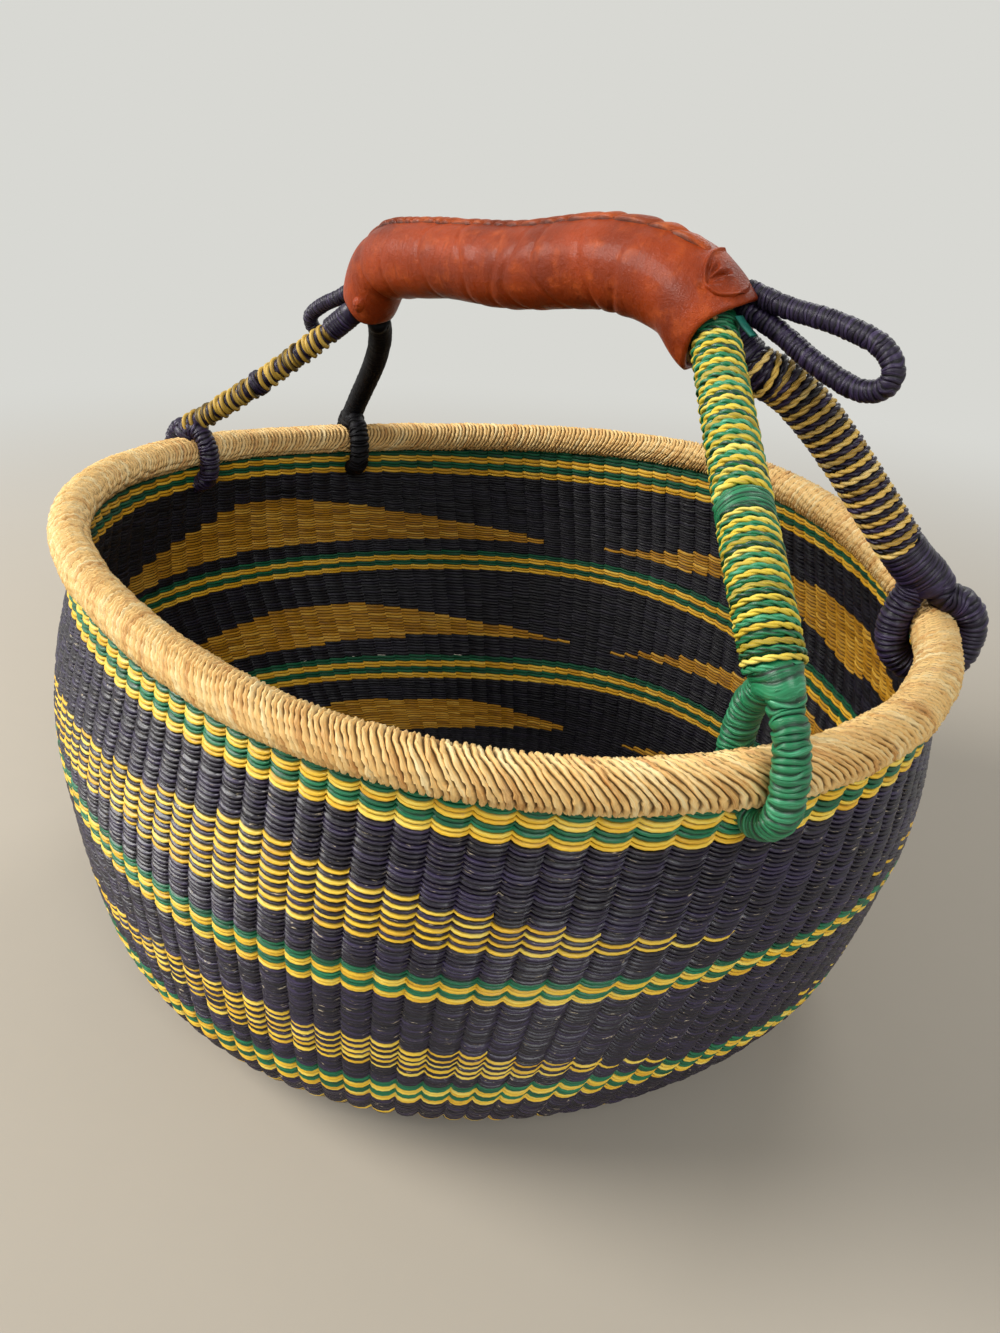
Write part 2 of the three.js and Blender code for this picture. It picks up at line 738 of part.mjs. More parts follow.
for (const leg of legs) {
  const long = longLegCurve(leg);
  const outer = wrapRadius(leg);
  const bore = outer - wrapThickness;
  const coreRadius = bore * Math.cos(Math.PI / legFacets) - fitGap;
  const tools = besideTools(leg);
  const core = cut(trimLeg(leg, rod(long, coreRadius, longLegSteps, legFacets)), tools);
  const wrap = cut(trimLeg(leg, rod(long, outer, longLegSteps, legFacets, bore)), tools);
  handle.add(named(`leg_core_${leg.name}`, core, palette.strawCore, roughStraw));
  handle.add(named(`leg_wrap_${leg.name}`, wrap, leg.color, roughStraw));
  const ring = rod(ringCurve(leg), leg.strandRadius, ringSteps, strandFacets);
  handle.add(named(`rim_ring_${leg.name}`, ring, leg.color, roughStraw));
  for (const winding of leg.windings) {
    const places = windingPlaces(leg, winding, long);
    console.log(`${winding.name}: least gap between turns ${leastGap(places, winding.strand).toFixed(2)} mm`);
    handle.add(named(winding.name, strandAlong(places, winding.strand), winding.color, roughStraw));
  }
}

// End loops

const loopAlongShares = [-0.1, 0.2, 0.55, 0.86, 0.97];
const loopAcrossShares = [0.36, 0.5, 0.9, 0.92, 0.5];

// A place on a mouth, as shares of the grip's radius there: up the mouth and towards the back
function onMouth(side, [up, back]) {
  const mouth = mouthFrame(side);
  const radius = gripOuterRadius(side > 0 ? 1 : 0);
  return mouth.point.clone().addScaledVector(mouth.normal, up * radius).add(new THREE.Vector3(0, back * radius, 0));
}

function loopCurve(loop) {
  const reach = loop.width / 2 - loopStrandRadius;
  const upper = loopAlongShares.map((share, i) => [share * loop.length, loopAcrossShares[i] * reach]);
  const lower = upper.map(([along, across]) => [along, -across]).reverse();
  const droop = THREE.MathUtils.degToRad(loop.droop);
  const roll = THREE.MathUtils.degToRad(loop.roll);
  const start = onMouth(loop.side, loop.mouthShares);
  const points = [...upper, [loop.length, 0], ...lower].map(([along, across]) => {
    const point = new THREE.Vector3(along, across * Math.sin(roll), across * Math.cos(roll));
    point.applyAxisAngle(new THREE.Vector3(0, 1, 0), droop);
    point.x *= loop.side;
    return point.add(start);
  });
  return new THREE.CatmullRomCurve3(points);
}

for (const loop of loops) {
  const strand = cut(rod(loopCurve(loop), loopStrandRadius, loopSteps, strandFacets), [mouthTool(loop.side)]);
  handle.add(named(loop.name, strand, palette.navy, roughStraw));
}

// Small pieces on the grip: the laced seam, a gathered tuck, a knot end and a tie strip's end

function lacing() {
  const places = Array.from({ length: lacingStitches + 1 }, (_, i) => {
    const t = THREE.MathUtils.lerp(lacingFromShare, lacingToShare, i / lacingStitches);
    const frame = gripFrame(t);
    const radius = gripOuterRadius(t) + lacingRadius + fitGap;
    const swing = (i % 2 === 0 ? 1 : -1) * lacingWidth / 2 / radius;
    return { point: around(frame, radius, swing), axis: frame.point };
  });
  return strandAlong(places, lacingRadius);
}

// A low dome on the leather, cut away underneath to fit the grip
function dome({ alongShare, around: angle, length, width, height }) {
  const frame = gripFrame(alongShare);
  const seat = around(frame, gripOuterRadius(alongShare) * Math.cos(Math.PI / gripFacets), angle);
  const outward = seat.clone().sub(frame.point).normalize();
  const across = new THREE.Vector3().crossVectors(outward, frame.tangent);
  const ball = new THREE.SphereGeometry(height, gripFacets, domeRings);
  ball.scale(length / 2 / height, width / 2 / height, 1);
  ball.applyMatrix4(new THREE.Matrix4().makeBasis(frame.tangent, across, outward).setPosition(seat));
  return cut(ball, [cappedLoft(gripRings(fitGap))]);
}

function strip() {
  const mouth = mouthFrame(1);
  const box = new THREE.BoxGeometry(stripWidth, stripThickness, 2 * stripLength);
  box.applyQuaternion(new THREE.Quaternion().setFromUnitVectors(new THREE.Vector3(0, 0, 1), mouth.facing));
  const at = onMouth(1, stripMouthShares);
  box.translate(at.x, at.y, at.z);
  return cut(box, [mouthTool(1)]);
}

handle.add(named('grip_lacing', lacing(), palette.thread, roughLeather));
handle.add(named('grip_tuck', dome(tuck), palette.leather, roughLeather));
handle.add(named('grip_knot', dome(knot), palette.leather, roughLeather));
handle.add(named('tie_strip', strip(), palette.teal, roughLeather));

const part = new THREE.Group();
part.add(basket, handle);
export default part;
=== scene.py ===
# Looks of the bolga basket: twined dyed straw, a wrapped rim and a looped handle with a leather grip.
# Lengths are in millimetres until a mesh is made
import math

import bpy
import numpy as np
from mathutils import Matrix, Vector


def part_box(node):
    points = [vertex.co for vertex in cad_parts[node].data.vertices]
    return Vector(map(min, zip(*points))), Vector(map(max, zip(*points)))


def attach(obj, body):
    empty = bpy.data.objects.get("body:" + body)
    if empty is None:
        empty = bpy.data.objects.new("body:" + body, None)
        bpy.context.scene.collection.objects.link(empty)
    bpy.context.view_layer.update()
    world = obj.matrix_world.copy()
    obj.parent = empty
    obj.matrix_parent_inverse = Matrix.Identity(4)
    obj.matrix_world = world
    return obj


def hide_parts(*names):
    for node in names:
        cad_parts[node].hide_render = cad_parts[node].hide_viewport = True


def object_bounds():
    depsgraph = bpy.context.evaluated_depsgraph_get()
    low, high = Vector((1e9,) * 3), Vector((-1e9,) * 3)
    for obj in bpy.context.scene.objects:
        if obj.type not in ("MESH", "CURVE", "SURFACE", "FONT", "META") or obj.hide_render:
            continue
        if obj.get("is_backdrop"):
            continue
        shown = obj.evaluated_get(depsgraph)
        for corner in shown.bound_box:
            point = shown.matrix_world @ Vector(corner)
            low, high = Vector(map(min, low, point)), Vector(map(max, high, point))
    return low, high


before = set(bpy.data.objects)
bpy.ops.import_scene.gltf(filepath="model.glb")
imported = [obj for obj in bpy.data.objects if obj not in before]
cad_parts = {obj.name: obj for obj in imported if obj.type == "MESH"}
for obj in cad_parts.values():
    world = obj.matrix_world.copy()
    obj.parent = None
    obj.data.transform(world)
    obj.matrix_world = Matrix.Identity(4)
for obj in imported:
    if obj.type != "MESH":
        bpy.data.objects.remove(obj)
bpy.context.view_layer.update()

MM = 0.001
TURN = 2 * math.pi

# Basket body
rim_radius = 190.0
rim_height = 209.0
rim_tube = 8.0
base_radius = 114.0
wall_thickness = 7.2
stripe_height = 14.2
stripe_heights = [187.7, 114.7, 48.0]
top_margin = 4.0
strand_pitch = 1.775
rib_count = 112
rib_lean = 2.6
wall_points = np.array([
    (114.0, 0.0), (133.0, 2.717), (159.6, 18.392), (180.12, 48.07),
    (196.84, 114.741), (198.55, 151.943), (193.61, 188.1), (193.6, 209.0),
])

# Waves that push the basket out of round: lobes, cosine shares, sine shares
wave_heights = [0, 0.23, 0.549, 0.9, 1]
outward_waves = [
    (1, [0, -0.0137, -0.0314, 0, 0], [0, -0.025, -0.0148, 0, 0]),
    (2, [0, 0.0295, 0.0538, 0.0583, 0.0612], [0, 0.0467, 0.0042, -0.0416, -0.0464]),
    (3, [0, -0.0131, -0.0071, 0.0145, 0.0183], [0, -0.0033, -0.0038, -0.0214, -0.0379]),
]
upward_waves = [
    (1, [0, -0.0227, -0.0216, 0, 0], [0, 0.0079, -0.0072, 0, 0]),
    (2, [0, 0.0015, 0.0028, -0.0019, -0.0048], [0, 0.0059, -0.0065, 0.0229, 0.0128]),
    (3, [0, 0.0109, 0.0151, -0.008, 0.002], [0, -0.0279, -0.0229, -0.0099, -0.0093]),
]

# Grip
rise = 112.0
half_span = 104.0
grip_back = 7.6
grip_radius = 16.0
leather_thickness = 2.0
fit_gap = 0.3
grip_along = [-1.01, -0.89, -0.55, 0, 0.53, 0.83, 0.99]
grip_rise = [0.75, 0.92, 0.98, 1, 1.05, 1, 0.89]
grip_girth = [0.84, 1.05, 0.98, 1, 1.02, 1.06, 1.12]
crease_shares = [0.1, 0.2, 0.33, 0.42, 0.5, 0.57, 0.64, 0.72, 0.8]
pinch_share = 0.95
pinch_angle = math.radians(46)
seam_turn = math.radians(9)

# Legs: pitch of the winding, radius, that of the fork's strands, how far the fork is raised and inward, how
# its strands swell, width and thickness there, the neck above it, and how far apart the strands begin.
# Ring is in degrees; mouth, leave and arrive are shares of the rise
leg_habits = dict(side=-1, pitch=1.9, radius=6.0, strand=5.0, raised=0.0, inward=0.0, swell=0.8,
                  fork=(7.8, 6.2), neck=7.0, neck_height=1.5, neck_steps=6, root=None,
                  fork_shares=(0.5, 0.15, 0.0))
stout_habits = leg_habits | dict(side=1, radius=8.8, neck_height=5.0, neck_steps=1,
                                 fork_shares=(0.8, 0.6, 0.35))
legs = {
    "front_right": stout_habits | dict(
        look="leg_green_straw", ring=-22.0, raised=12.0, swell=0.4, fork=(8.7, 6.2), neck=4.0,
        mouth=(-0.02, -0.02, 0.9), leave=(0.28, -0.23, -0.25), arrive=(-0.14, 0.033, 0.24)),
    "back_right": stout_habits | dict(
        look="leg_navy_straw", pitch=1.8, ring=20.5, strand=5.4, inward=6.0, swell=2.3, fork=(9.3, 7.6),
        neck=5.0, root=(-9.5, -2.5, 8.0),
        mouth=(0.09, 0.07, 0.79), leave=(0.122, 0.17, -0.002), arrive=(-0.1, -0.129, 0.12)),
    "front_left": leg_habits | dict(
        look="leg_navy_straw", ring=194.0,
        mouth=(0.06, -0.06, 0.715), leave=(0.226, -0.135, -0.21), arrive=(-0.186, 0.116, 0.116)),
    "back_left": leg_habits | dict(
        look="black_straw", ring=163.5,
        mouth=(0.015, 0.07, 0.68), leave=(0.206, 0.1875, -0.175), arrive=(-0.09, 0.007, 0.171)),
}
strand_press = 0.8
ring_gap = 1.1
ring_drop = 4.0

# Close cords on the legs: start and stop, turns, look and node, width against an even share, lay, how deep
# the leg is sunk, and if they lie in pairs
coil_habits = dict(width=1.0, lay=9.0, sunk=1.7, paired=True)
coils = {
    "winding_yellow_upper": coil_habits | dict(
        leg="front_right", start=0.04, stop=0.6, turns=16.5, look="leg_yellow_straw",
        node="winding_yellow_close"),
    "winding_yellow_lower": coil_habits | dict(
        leg="front_right", start=0.643, stop=0.975, turns=13.5, look="leg_yellow_straw",
        node="winding_yellow_open"),
    "winding_gold_right": coil_habits | dict(
        leg="back_right", start=0.085, stop=0.855, turns=20, look="leg_gold_straw",
        node="winding_gold_back"),
    "winding_gold_left": coil_habits | dict(
        leg="front_left", start=0.11, stop=0.985, turns=23, look="old_gold_straw", node="winding_gold_front",
        width=1.65, lay=40.0, sunk=1.0, paired=False),
}
cord_proud = 0.3
cord_step = 1.125
dark_band = (0.52, 0.565)
dark_band_proud = 0.5

# End loops: length, width, droop and roll, and where in the mouth they begin
loops = {
    "right": dict(side=1, length=56.0, width=24.0, droop=17.0, roll=0.0, mouth=(0.72, 0.42)),
    "left": dict(side=-1, length=42.0, width=22.5, droop=31.0, roll=-40.0, mouth=(0.76, -0.1)),
}
loop_strand = 3.9
loop_outline = [(-0.1, 0.36), (0.2, 0.5), (0.55, 0.9), (0.86, 0.92), (0.97, 0.5)]

# The golden flames of the dark fields: angles in degrees, and the lower and upper edges there
flames = [
    ([-138, -120, -105, -92, -81, -66, -57, -46, -29, -16],
     [138, 135, 134, 141, 143, 144, 141, 144, 144, 141],
     [139, 150, 157, 161, 165, 172, 167, 160, 150, 142]),
    ([0, 8, 37, 46, 54, 64, 74, 98, 113],
     [140, 139, 148, 148, 143, 147, 150, 140, 139],
     [141, 145, 163, 169, 171, 169, 165, 151, 141]),
    ([126, 131, 147, 158, 173, 185, 195, 204, 216],
     [139, 138, 138, 138, 137, 137, 135, 132, 134],
     [140, 144, 154, 162, 171, 171, 158, 148, 135]),
    ([-122, -102, -85, -75, -64, -50, -42, -29, -18],
     [72, 72, 76, 73, 72, 70, 69, 69, 64],
     [73, 78, 91, 93, 91, 87, 84, 75, 65]),
    ([-4, 30, 52, 64, 76, 93, 108], [66, 80, 88, 88, 82, 78, 73], [67, 90, 104, 106, 95, 85, 74]),
    ([118, 130, 149, 166, 178, 196, 214], [74, 74, 74, 72, 71, 70, 74], [75, 79, 88, 96, 96, 86, 75]),
    ([-118, -92, -70, -50, -20], [20, 17, 17, 18, 20], [21, 31, 36, 32, 21]),
    ([2, 28, 50, 70, 100], [20, 17, 17, 18, 20], [21, 31, 36, 32, 21]),
    ([116, 140, 169, 190, 222], [20, 17, 17, 18, 20], [21, 33, 35, 32, 21]),
]

# Windings: rows of points across each turn, and the length of one unit of the pattern
strand_rows = 4
strand_unit = 11.0


# Curves and places

def bump(distance, width):
    return np.exp(-(distance / width) ** 2)


def unit(v):
    return v / np.linalg.norm(v, axis=-1, keepdims=True)


def stacked(*columns):
    return np.stack(np.broadcast_arrays(*columns), -1)


def steps_of(points):
    return np.concatenate([[0], np.cumsum(np.linalg.norm(np.diff(points, axis=0), axis=1))])


def length_of(points):
    return np.linalg.norm(np.diff(points, axis=0), axis=1).sum()


def sampled(table, places, steps=None):
    """A table at places along it, counted in its rows or by the steps given."""
    steps = np.arange(len(table)) if steps is None else steps
    return stacked(*[np.interp(places, steps, column) for column in table.T])


def evenly(points, count):
    steps = steps_of(points)
    return sampled(points, np.linspace(0, steps[-1], count), steps)


def smooth_curve(points, count):
    """Centripetal Catmull-Rom curve through points."""
    p = np.array(points, float)
    p = np.vstack([2 * p[0] - p[1], p, 2 * p[-1] - p[-2]])
    t = np.linspace(0, 1, 24, endpoint=False)[:, None]
    pieces = []
    for a, b, c, d in zip(p, p[1:], p[2:], p[3:]):
        ab, bc, cd = (max(np.linalg.norm(v - u), 1e-6) ** 0.5 for u, v in ((a, b), (b, c), (c, d)))
        leave = ((b - a) / ab - (c - a) / (ab + bc) + (c - b) / bc) * bc
        arrive = ((c - b) / bc - (d - b) / (bc + cd) + (d - c) / cd) * bc
        pieces.append(b + leave * t + (3 * (c - b) - 2 * leave - arrive) * t ** 2
                      + (2 * (b - c) + leave + arrive) * t ** 3)
    pieces.append(p[-2][None])
    return evenly(np.vstack(pieces), count)


def bezier(a, b, c, d, count):
    t = np.linspace(0, 1, 200)[:, None]
    return evenly(a * (1 - t) ** 3 + 3 * b * t * (1 - t) ** 2 + 3 * c * t ** 2 * (1 - t) + d * t ** 3, count)


def wave_at(waves, angle, height):
    climb = np.clip(height / rim_height, 0, 1)
    total = 0
    for lobes, cosine, sine in waves:
        total = total + np.interp(climb, wave_heights, cosine) * np.cos(lobes * angle)
        total = total + np.interp(climb, wave_heights, sine) * np.sin(lobes * angle)
    return rim_radius * total


def settle(angle, radius, height):
    """A place of a round basket, moved as this one is out of round."""
    reach = np.minimum(1, radius / base_radius)
    grown = radius + wave_at(outward_waves, angle, height) * reach
    raised = height + wave_at(upward_waves, angle, height) * reach
    return stacked(grown * np.cos(angle), grown * np.sin(angle), raised)


def wall_profile():
    """The wall from the middle of the base to the top: steps, line and direction."""
    p = wall_points
    line = [np.array([[1.0, 0.0]])]
    t = np.linspace(0, 1, 40, endpoint=False)[:, None]
    for i in range(len(p) - 1):
        a, b, c, d = p[max(i - 1, 0)], p[i], p[i + 1], p[min(i + 2, len(p) - 1)]
        line.append(0.5 * (2 * b + (c - a) * t + (2 * a - 5 * b + 4 * c - d) * t ** 2
                           + (3 * b - a - 3 * c + d) * t ** 3))
    line = evenly(np.vstack(line + [p[-1:]]), 1200)
    return steps_of(line), line, unit(np.gradient(line, axis=0))


profile_along, profile_line, profile_tangent = wall_profile()


def along_at_height(height):
    wall = profile_along >= base_radius - 1
    return np.interp(height, profile_line[wall, 1], profile_along[wall])


def wall_place(angle, along, depth):
    """A point round the wall, up its profile, and in from its outer face."""
    columns = [*profile_line.T, *profile_tangent.T]
    radius, height, widening, climb = (np.interp(along, profile_along, column) for column in columns)
    return settle(angle, radius - climb * depth, height + widening * depth)


def rim_centre(angle):
    return settle(angle, rim_radius, rim_height)


def rim_along(angle):
    step = TURN / 360
    return rim_centre(angle + step) - rim_centre(angle - step)


def rim_outward(angle):
    along = rim_along(angle)
    return unit(stacked(along[..., 1], -along[..., 0], 0.0))


def on_rim(angle, outward, up):
    return rim_centre(angle) + rim_outward(angle) * outward + np.array([0, 0, up])


def drift(places, spacing, seed):
    """Smooth chance: values from -1 to 1 along a line."""
    table = np.random.RandomState(seed).uniform(-1, 1, 4096)
    place = places / spacing
    low = np.floor(place).astype(int)
    share = place - low
    share = share * share * (3 - 2 * share)
    return table[low % 4096] * (1 - share) + table[(low + 1) % 4096] * share


def frames_along(line, first):
    """Frames that don't twist, starting with the normal nearest to first."""
    tangent = unit(np.gradient(line, axis=0))
    normal = np.empty_like(line)
    n = np.array(first, float)
    for i, t in enumerate(tangent):
        n = n - t * np.dot(n, t)
        n /= np.linalg.norm(n)
        normal[i] = n
    return tangent, normal, np.cross(tangent, normal)


def around_line(centre, normal, binormal, angle, wide, tall=None):
    """Points round the places of a line, at angles from its normal."""
    tall = wide if tall is None else tall
    return centre + normal * (wide * np.cos(angle))[..., None] + binormal * (tall * np.sin(angle))[..., None]


# Meshes: a part is points, quads and pattern corners, and may have the material index of each face and the
# points on the lines between strands

def whole(part):
    return part + (0, None)[len(part) - 3:]


def flipped(part):
    return (part[0], part[1][:, ::-1], part[2][:, ::-1], *part[3:])


def joined(parts):
    points, quads, uv, index, lines = zip(*map(whole, parts))
    starts = np.cumsum([0, *map(len, points)])
    quads = [q + start for q, start in zip(quads, starts)]
    index = [np.broadcast_to(i, len(q)) for i, q in zip(index, quads)]
    lines = [np.zeros(len(p), bool) if own is None else own for own, p in zip(lines, points)]
    return tuple(np.concatenate(table) for table in (points, quads, uv, index, lines))


def cells(table):
    corners = np.stack([table[:-1, :-1], table[:-1, 1:], table[1:, 1:], table[1:, :-1]], 2)
    return corners.reshape(-1, 4, *table.shape[2:])


def grid(points, uv, closed=False):
    """A part over rows and columns; a closed one repeats its first column as its last."""
    rows, cols = points.shape[:2]
    wrap = cols - 1 if closed else cols
    index = np.arange(rows)[:, None] * wrap + np.arange(cols) % wrap
    return points[:, :wrap].reshape(-1, 3), cells(index), cells(uv)


def crease(mesh, lines):
    ends = np.empty((len(mesh.edges), 2), dtype=np.int32)
    mesh.edges.foreach_get("vertices", ends.ravel())
    sharp = mesh.attributes.new("sharp_edge", "BOOLEAN", "EDGE")
    sharp.data.foreach_set("value", lines[ends].all(axis=1))


def placed(name, data):
    thing = bpy.data.objects.new(name, data)
    bpy.context.scene.collection.objects.link(thing)
    return thing


def make_piece(name, part, nodes, slot, *materials, body="handle"):
    points, quads, uv, index, lines = whole(part)
    mesh = bpy.data.meshes.new(name)
    mesh.vertices.add(len(points))
    mesh.vertices.foreach_set("co", (np.asarray(points) * MM).astype(np.float32).ravel())
    mesh.loops.add(quads.size)
    mesh.loops.foreach_set("vertex_index", quads.astype(np.int32).ravel())
    mesh.polygons.add(len(quads))
    mesh.polygons.foreach_set("loop_start", np.arange(0, quads.size, 4, dtype=np.int32))
    for material in materials:
        mesh.materials.append(looks[material])
    if np.ndim(index):
        mesh.polygons.foreach_set("material_index", np.asarray(index, dtype=np.int32))
    mesh.update(calc_edges=True)
    layer = mesh.uv_layers.new(name="strands")
    layer.data.foreach_set("uv", uv.astype(np.float32).ravel())
    mesh.shade_smooth()
    mesh.validate()
    if lines is not None:
        crease(mesh, lines)
    piece = placed(name, mesh)
    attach(piece, body)
    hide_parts(*nodes)


def wound(line, first, radius, pitch, around, relief, loose, seed, flat=None):
    """A closed tube wound with one strand; radius and flat, its other radius, depend on the share along."""
    count = max(2, int(round(length_of(line) / pitch)))
    tangent, normal, binormal = frames_along(line, first)
    rows = np.arange(-2 * strand_rows, (count + 1) * strand_rows + 1)[:, None]
    own = np.floor(rows / strand_rows)
    angles = np.arange(around + 1) / around
    angle = angles * TURN
    phase = (rows + strand_rows * angles) / strand_rows
    swing = 1.3 * np.cos(angle - 3 * drift(own, 5.0, seed + 9))
    push = loose * drift(own * 1.7 + swing, 1.0, seed)
    share = np.clip((phase + push) / count, 0, 1)
    closing = np.clip(np.minimum(1 + phase, count + 1 - phase), 0, 1)
    hump = np.sin(np.pi * (rows / strand_rows - own)) ** 0.7
    lift = relief * (hump - 1) + 0.3 * relief * drift(own * 3.3, 1.0, seed + 3)
    centre, n, b = (sampled(table, share * (len(line) - 1)) for table in (line, normal, binormal))
    wide = radius(share)
    tall = flat(share) if flat else wide
    points = around_line(centre, n, b, angle, (wide + lift) * closing, (tall + lift) * closing)
    uv = stacked((angles + own) * TURN * np.mean(wide) / strand_unit, rows / strand_rows)
    starts = np.arange(len(rows))[:, None] * around
    ends = np.minimum(starts + strand_rows * around, starts[-1])
    quads = cells(np.hstack([starts + np.arange(around), ends]))
    points = points[:, :-1].reshape(-1, 3)
    a, b, c, d = np.moveaxis(points[quads], 1, 0)
    keep = np.linalg.norm(np.cross(c - a, d - b), axis=1) > 1e-4
    return points, quads[keep], cells(uv)[keep], 0, np.repeat(rows % strand_rows == 0, around)


def tube(line, first, radius, ply_uv, around=8):
    """A plain round tube with domed ends."""
    tangent, normal, binormal = frames_along(line, first)
    size = np.full(len(line), radius)
    size[[0, -1]] *= 0.35
    size = np.concatenate([[0.02], size, [0.02]])
    line = np.vstack([line[:1] - tangent[:1] * 0.01, line, line[-1:] + tangent[-1:] * 0.01])
    normal, binormal = (np.vstack([table[:1], table, table[-1:]])[:, None] for table in (normal, binormal))
    angle = np.arange(around + 1) / around * TURN
    points = around_line(line[:, None], normal, binormal, angle, size[:, None])
    uv = stacked(steps_of(line)[:, None] / strand_unit, angle / TURN + ply_uv)
    return grid(points, uv, closed=True)


def twisted_cord(line, facing, radius, lay, seed):
    """Two plies that go once round each other in every lay."""
    total = length_of(line)
    count = int(total / cord_step)
    path = evenly(line, count)
    tangent = unit(np.gradient(path, axis=0))
    normal = sampled(facing, np.linspace(0, 1, count), np.linspace(0, 1, len(facing)))
    normal = unit(normal - tangent * (normal * tangent).sum(-1, keepdims=True))
    binormal = np.cross(tangent, normal)
    turns = np.linspace(0, total / lay, count) + 0.12 * drift(np.arange(count), 9.0, seed)
    ply = radius * 0.56
    parts = []
    for k in (0, 1):
        centre = around_line(path, normal, binormal, (turns + k / 2) * TURN, radius - ply)
        parts.append(tube(centre, normal[0], ply, k + seed * 3.0))
    return parts


# Materials

def rgb(text):
    parts = [int(text[i:i + 2], 16) / 255 for i in (1, 3, 5)]
    return tuple(c / 12.92 if c < 0.04045 else ((c + 0.055) / 1.055) ** 2.4 for c in parts) + (1.0,)


def dimmed(color, share):
    return tuple(share * c for c in color[:3]) + (1.0,)


class Graph:
    """Short ways to add nodes to a material or a world."""

    def __init__(self, owner):
        owner.use_nodes = True
        self.owner = owner
        self.tree = owner.node_tree

    def add(self, kind, inputs=(), out=0, **settings):
        node = self.tree.nodes.new(kind)
        for key, value in settings.items():
            setattr(node, key, value)
        for key, value in dict(inputs).items():
            self.put(node.inputs[key], value)
        return node.outputs if out is None else node.outputs[out]

    def put(self, socket, value):
        if isinstance(value, bpy.types.NodeSocket):
            self.tree.links.new(value, socket)
        else:
            socket.default_value = value

    def calc(self, operation, *values):
        return self.add("ShaderNodeMath", enumerate(values), operation=operation)

    def total(self, *terms):
        """Sum of values, each times its weight."""
        total = 0.0
        for value, weight in terms:
            total = self.calc("MULTIPLY_ADD", value, weight, total)
        return total

    def mix(self, share, a, b):
        return self.add("ShaderNodeMix", {0: share, 6: a, 7: b}, out=2, data_type="RGBA")

    def ramp(self, value, low, high, to_low=0.0, to_high=1.0):
        return self.add("ShaderNodeMapRange", {0: value, 1: low, 2: high, 3: to_low, 4: to_high},
                        interpolation_type="SMOOTHSTEP")

    def join(self, x, y):
        return self.add("ShaderNodeCombineXYZ", {0: x, 1: y})

    def pattern(self):
        """The two shares of the pattern: along the strands, and across them."""
        place = self.add("ShaderNodeUVMap", uv_map="strands")
        return tuple(self.add("ShaderNodeSeparateXYZ", {0: place}, out=None))[:2]

    def from_middle(self, value):
        """How far a value lies from the middle of its own unit."""
        return self.calc("ABSOLUTE", self.calc("SUBTRACT", self.calc("FRACT", value), 0.5))

    def noise(self, vector, scale, detail, rough=0.5):
        return self.add("ShaderNodeTexNoise",
                        {"Vector": vector, "Scale": scale, "Detail": detail, "Roughness": rough})

    def finish(self, color, roughness, height, distance, *gloss):
        bump = self.add("ShaderNodeBump", {"Height": height, "Distance": distance, "Strength": 0.9})
        shader = self.tree.nodes["Principled BSDF"].inputs
        keys = ("Base Color", "Roughness", "Normal", "Specular IOR Level", "Coat Weight", "Coat Roughness")
        for key, value in zip(keys, (color, roughness, bump, *gloss)):
            self.put(shader[key], value)
        return self.owner


def straw_material(name, stitched, colors, flecks, roughness, groove_shade, gloss, shine, bump=0.28, spread=0.55):
    """Dyed straw: shades that differ between strands, fibres and flecks, with painted shade in the grooves
    between strands.
    """
    base, dark, light, fleck = map(rgb, colors.split())
    g = Graph(bpy.data.materials.new(name))
    u, v = g.pattern()
    if stitched:
        cell = g.join(g.calc("FLOOR", u), g.calc("FLOOR", v))
        own = g.add("ShaderNodeTexWhiteNoise", {"Vector": cell}, noise_dimensions="3D")
        across = v
    else:
        own = g.ramp(g.noise(g.join(g.calc("MULTIPLY", u, 0.37), 0.0), 1.0, 1.0), 0.3, 0.7)
        across = g.calc("FRACT", v)

    def stretched(along_scale, across_scale, detail, rough):
        place = g.join(g.calc("MULTIPLY", u, along_scale), g.calc("MULTIPLY", across, across_scale))
        return g.noise(place, 1.0, detail, rough)

    fibre = stretched(1.7, 9.0, 3.0, 0.6)
    patch = stretched(0.3, 0.1, 2.0, 0.5)
    shade = g.total((own, spread), (g.ramp(fibre, 0.3, 0.7), 1 - spread))
    color = g.mix(g.ramp(shade, 0.0, 0.5), dark, base)
    color = g.mix(g.ramp(shade, 0.5, 1.0), color, light)
    color = g.mix(g.ramp(patch, 0.5, 0.75, 0.0, 0.3), color, light)
    # Painted shade: darker towards the edges of each strand, in the grooves between strands
    shadow = g.calc("MULTIPLY", g.ramp(g.from_middle(v), 0.26, 0.47), groove_shade)
    color = g.mix(shadow, color, dimmed(dark, 0.12))
    if flecks:
        speck = stretched(1.9, 3.7, 4.0, 0.7)
        color = g.mix(g.ramp(speck, 0.72 - flecks, 0.79 - flecks, 0.0, 0.8), color, fleck)
    return g.finish(color, g.ramp(fibre, 0.25, 0.75, *roughness), fibre, bump * MM, shine, gloss, 0.22)


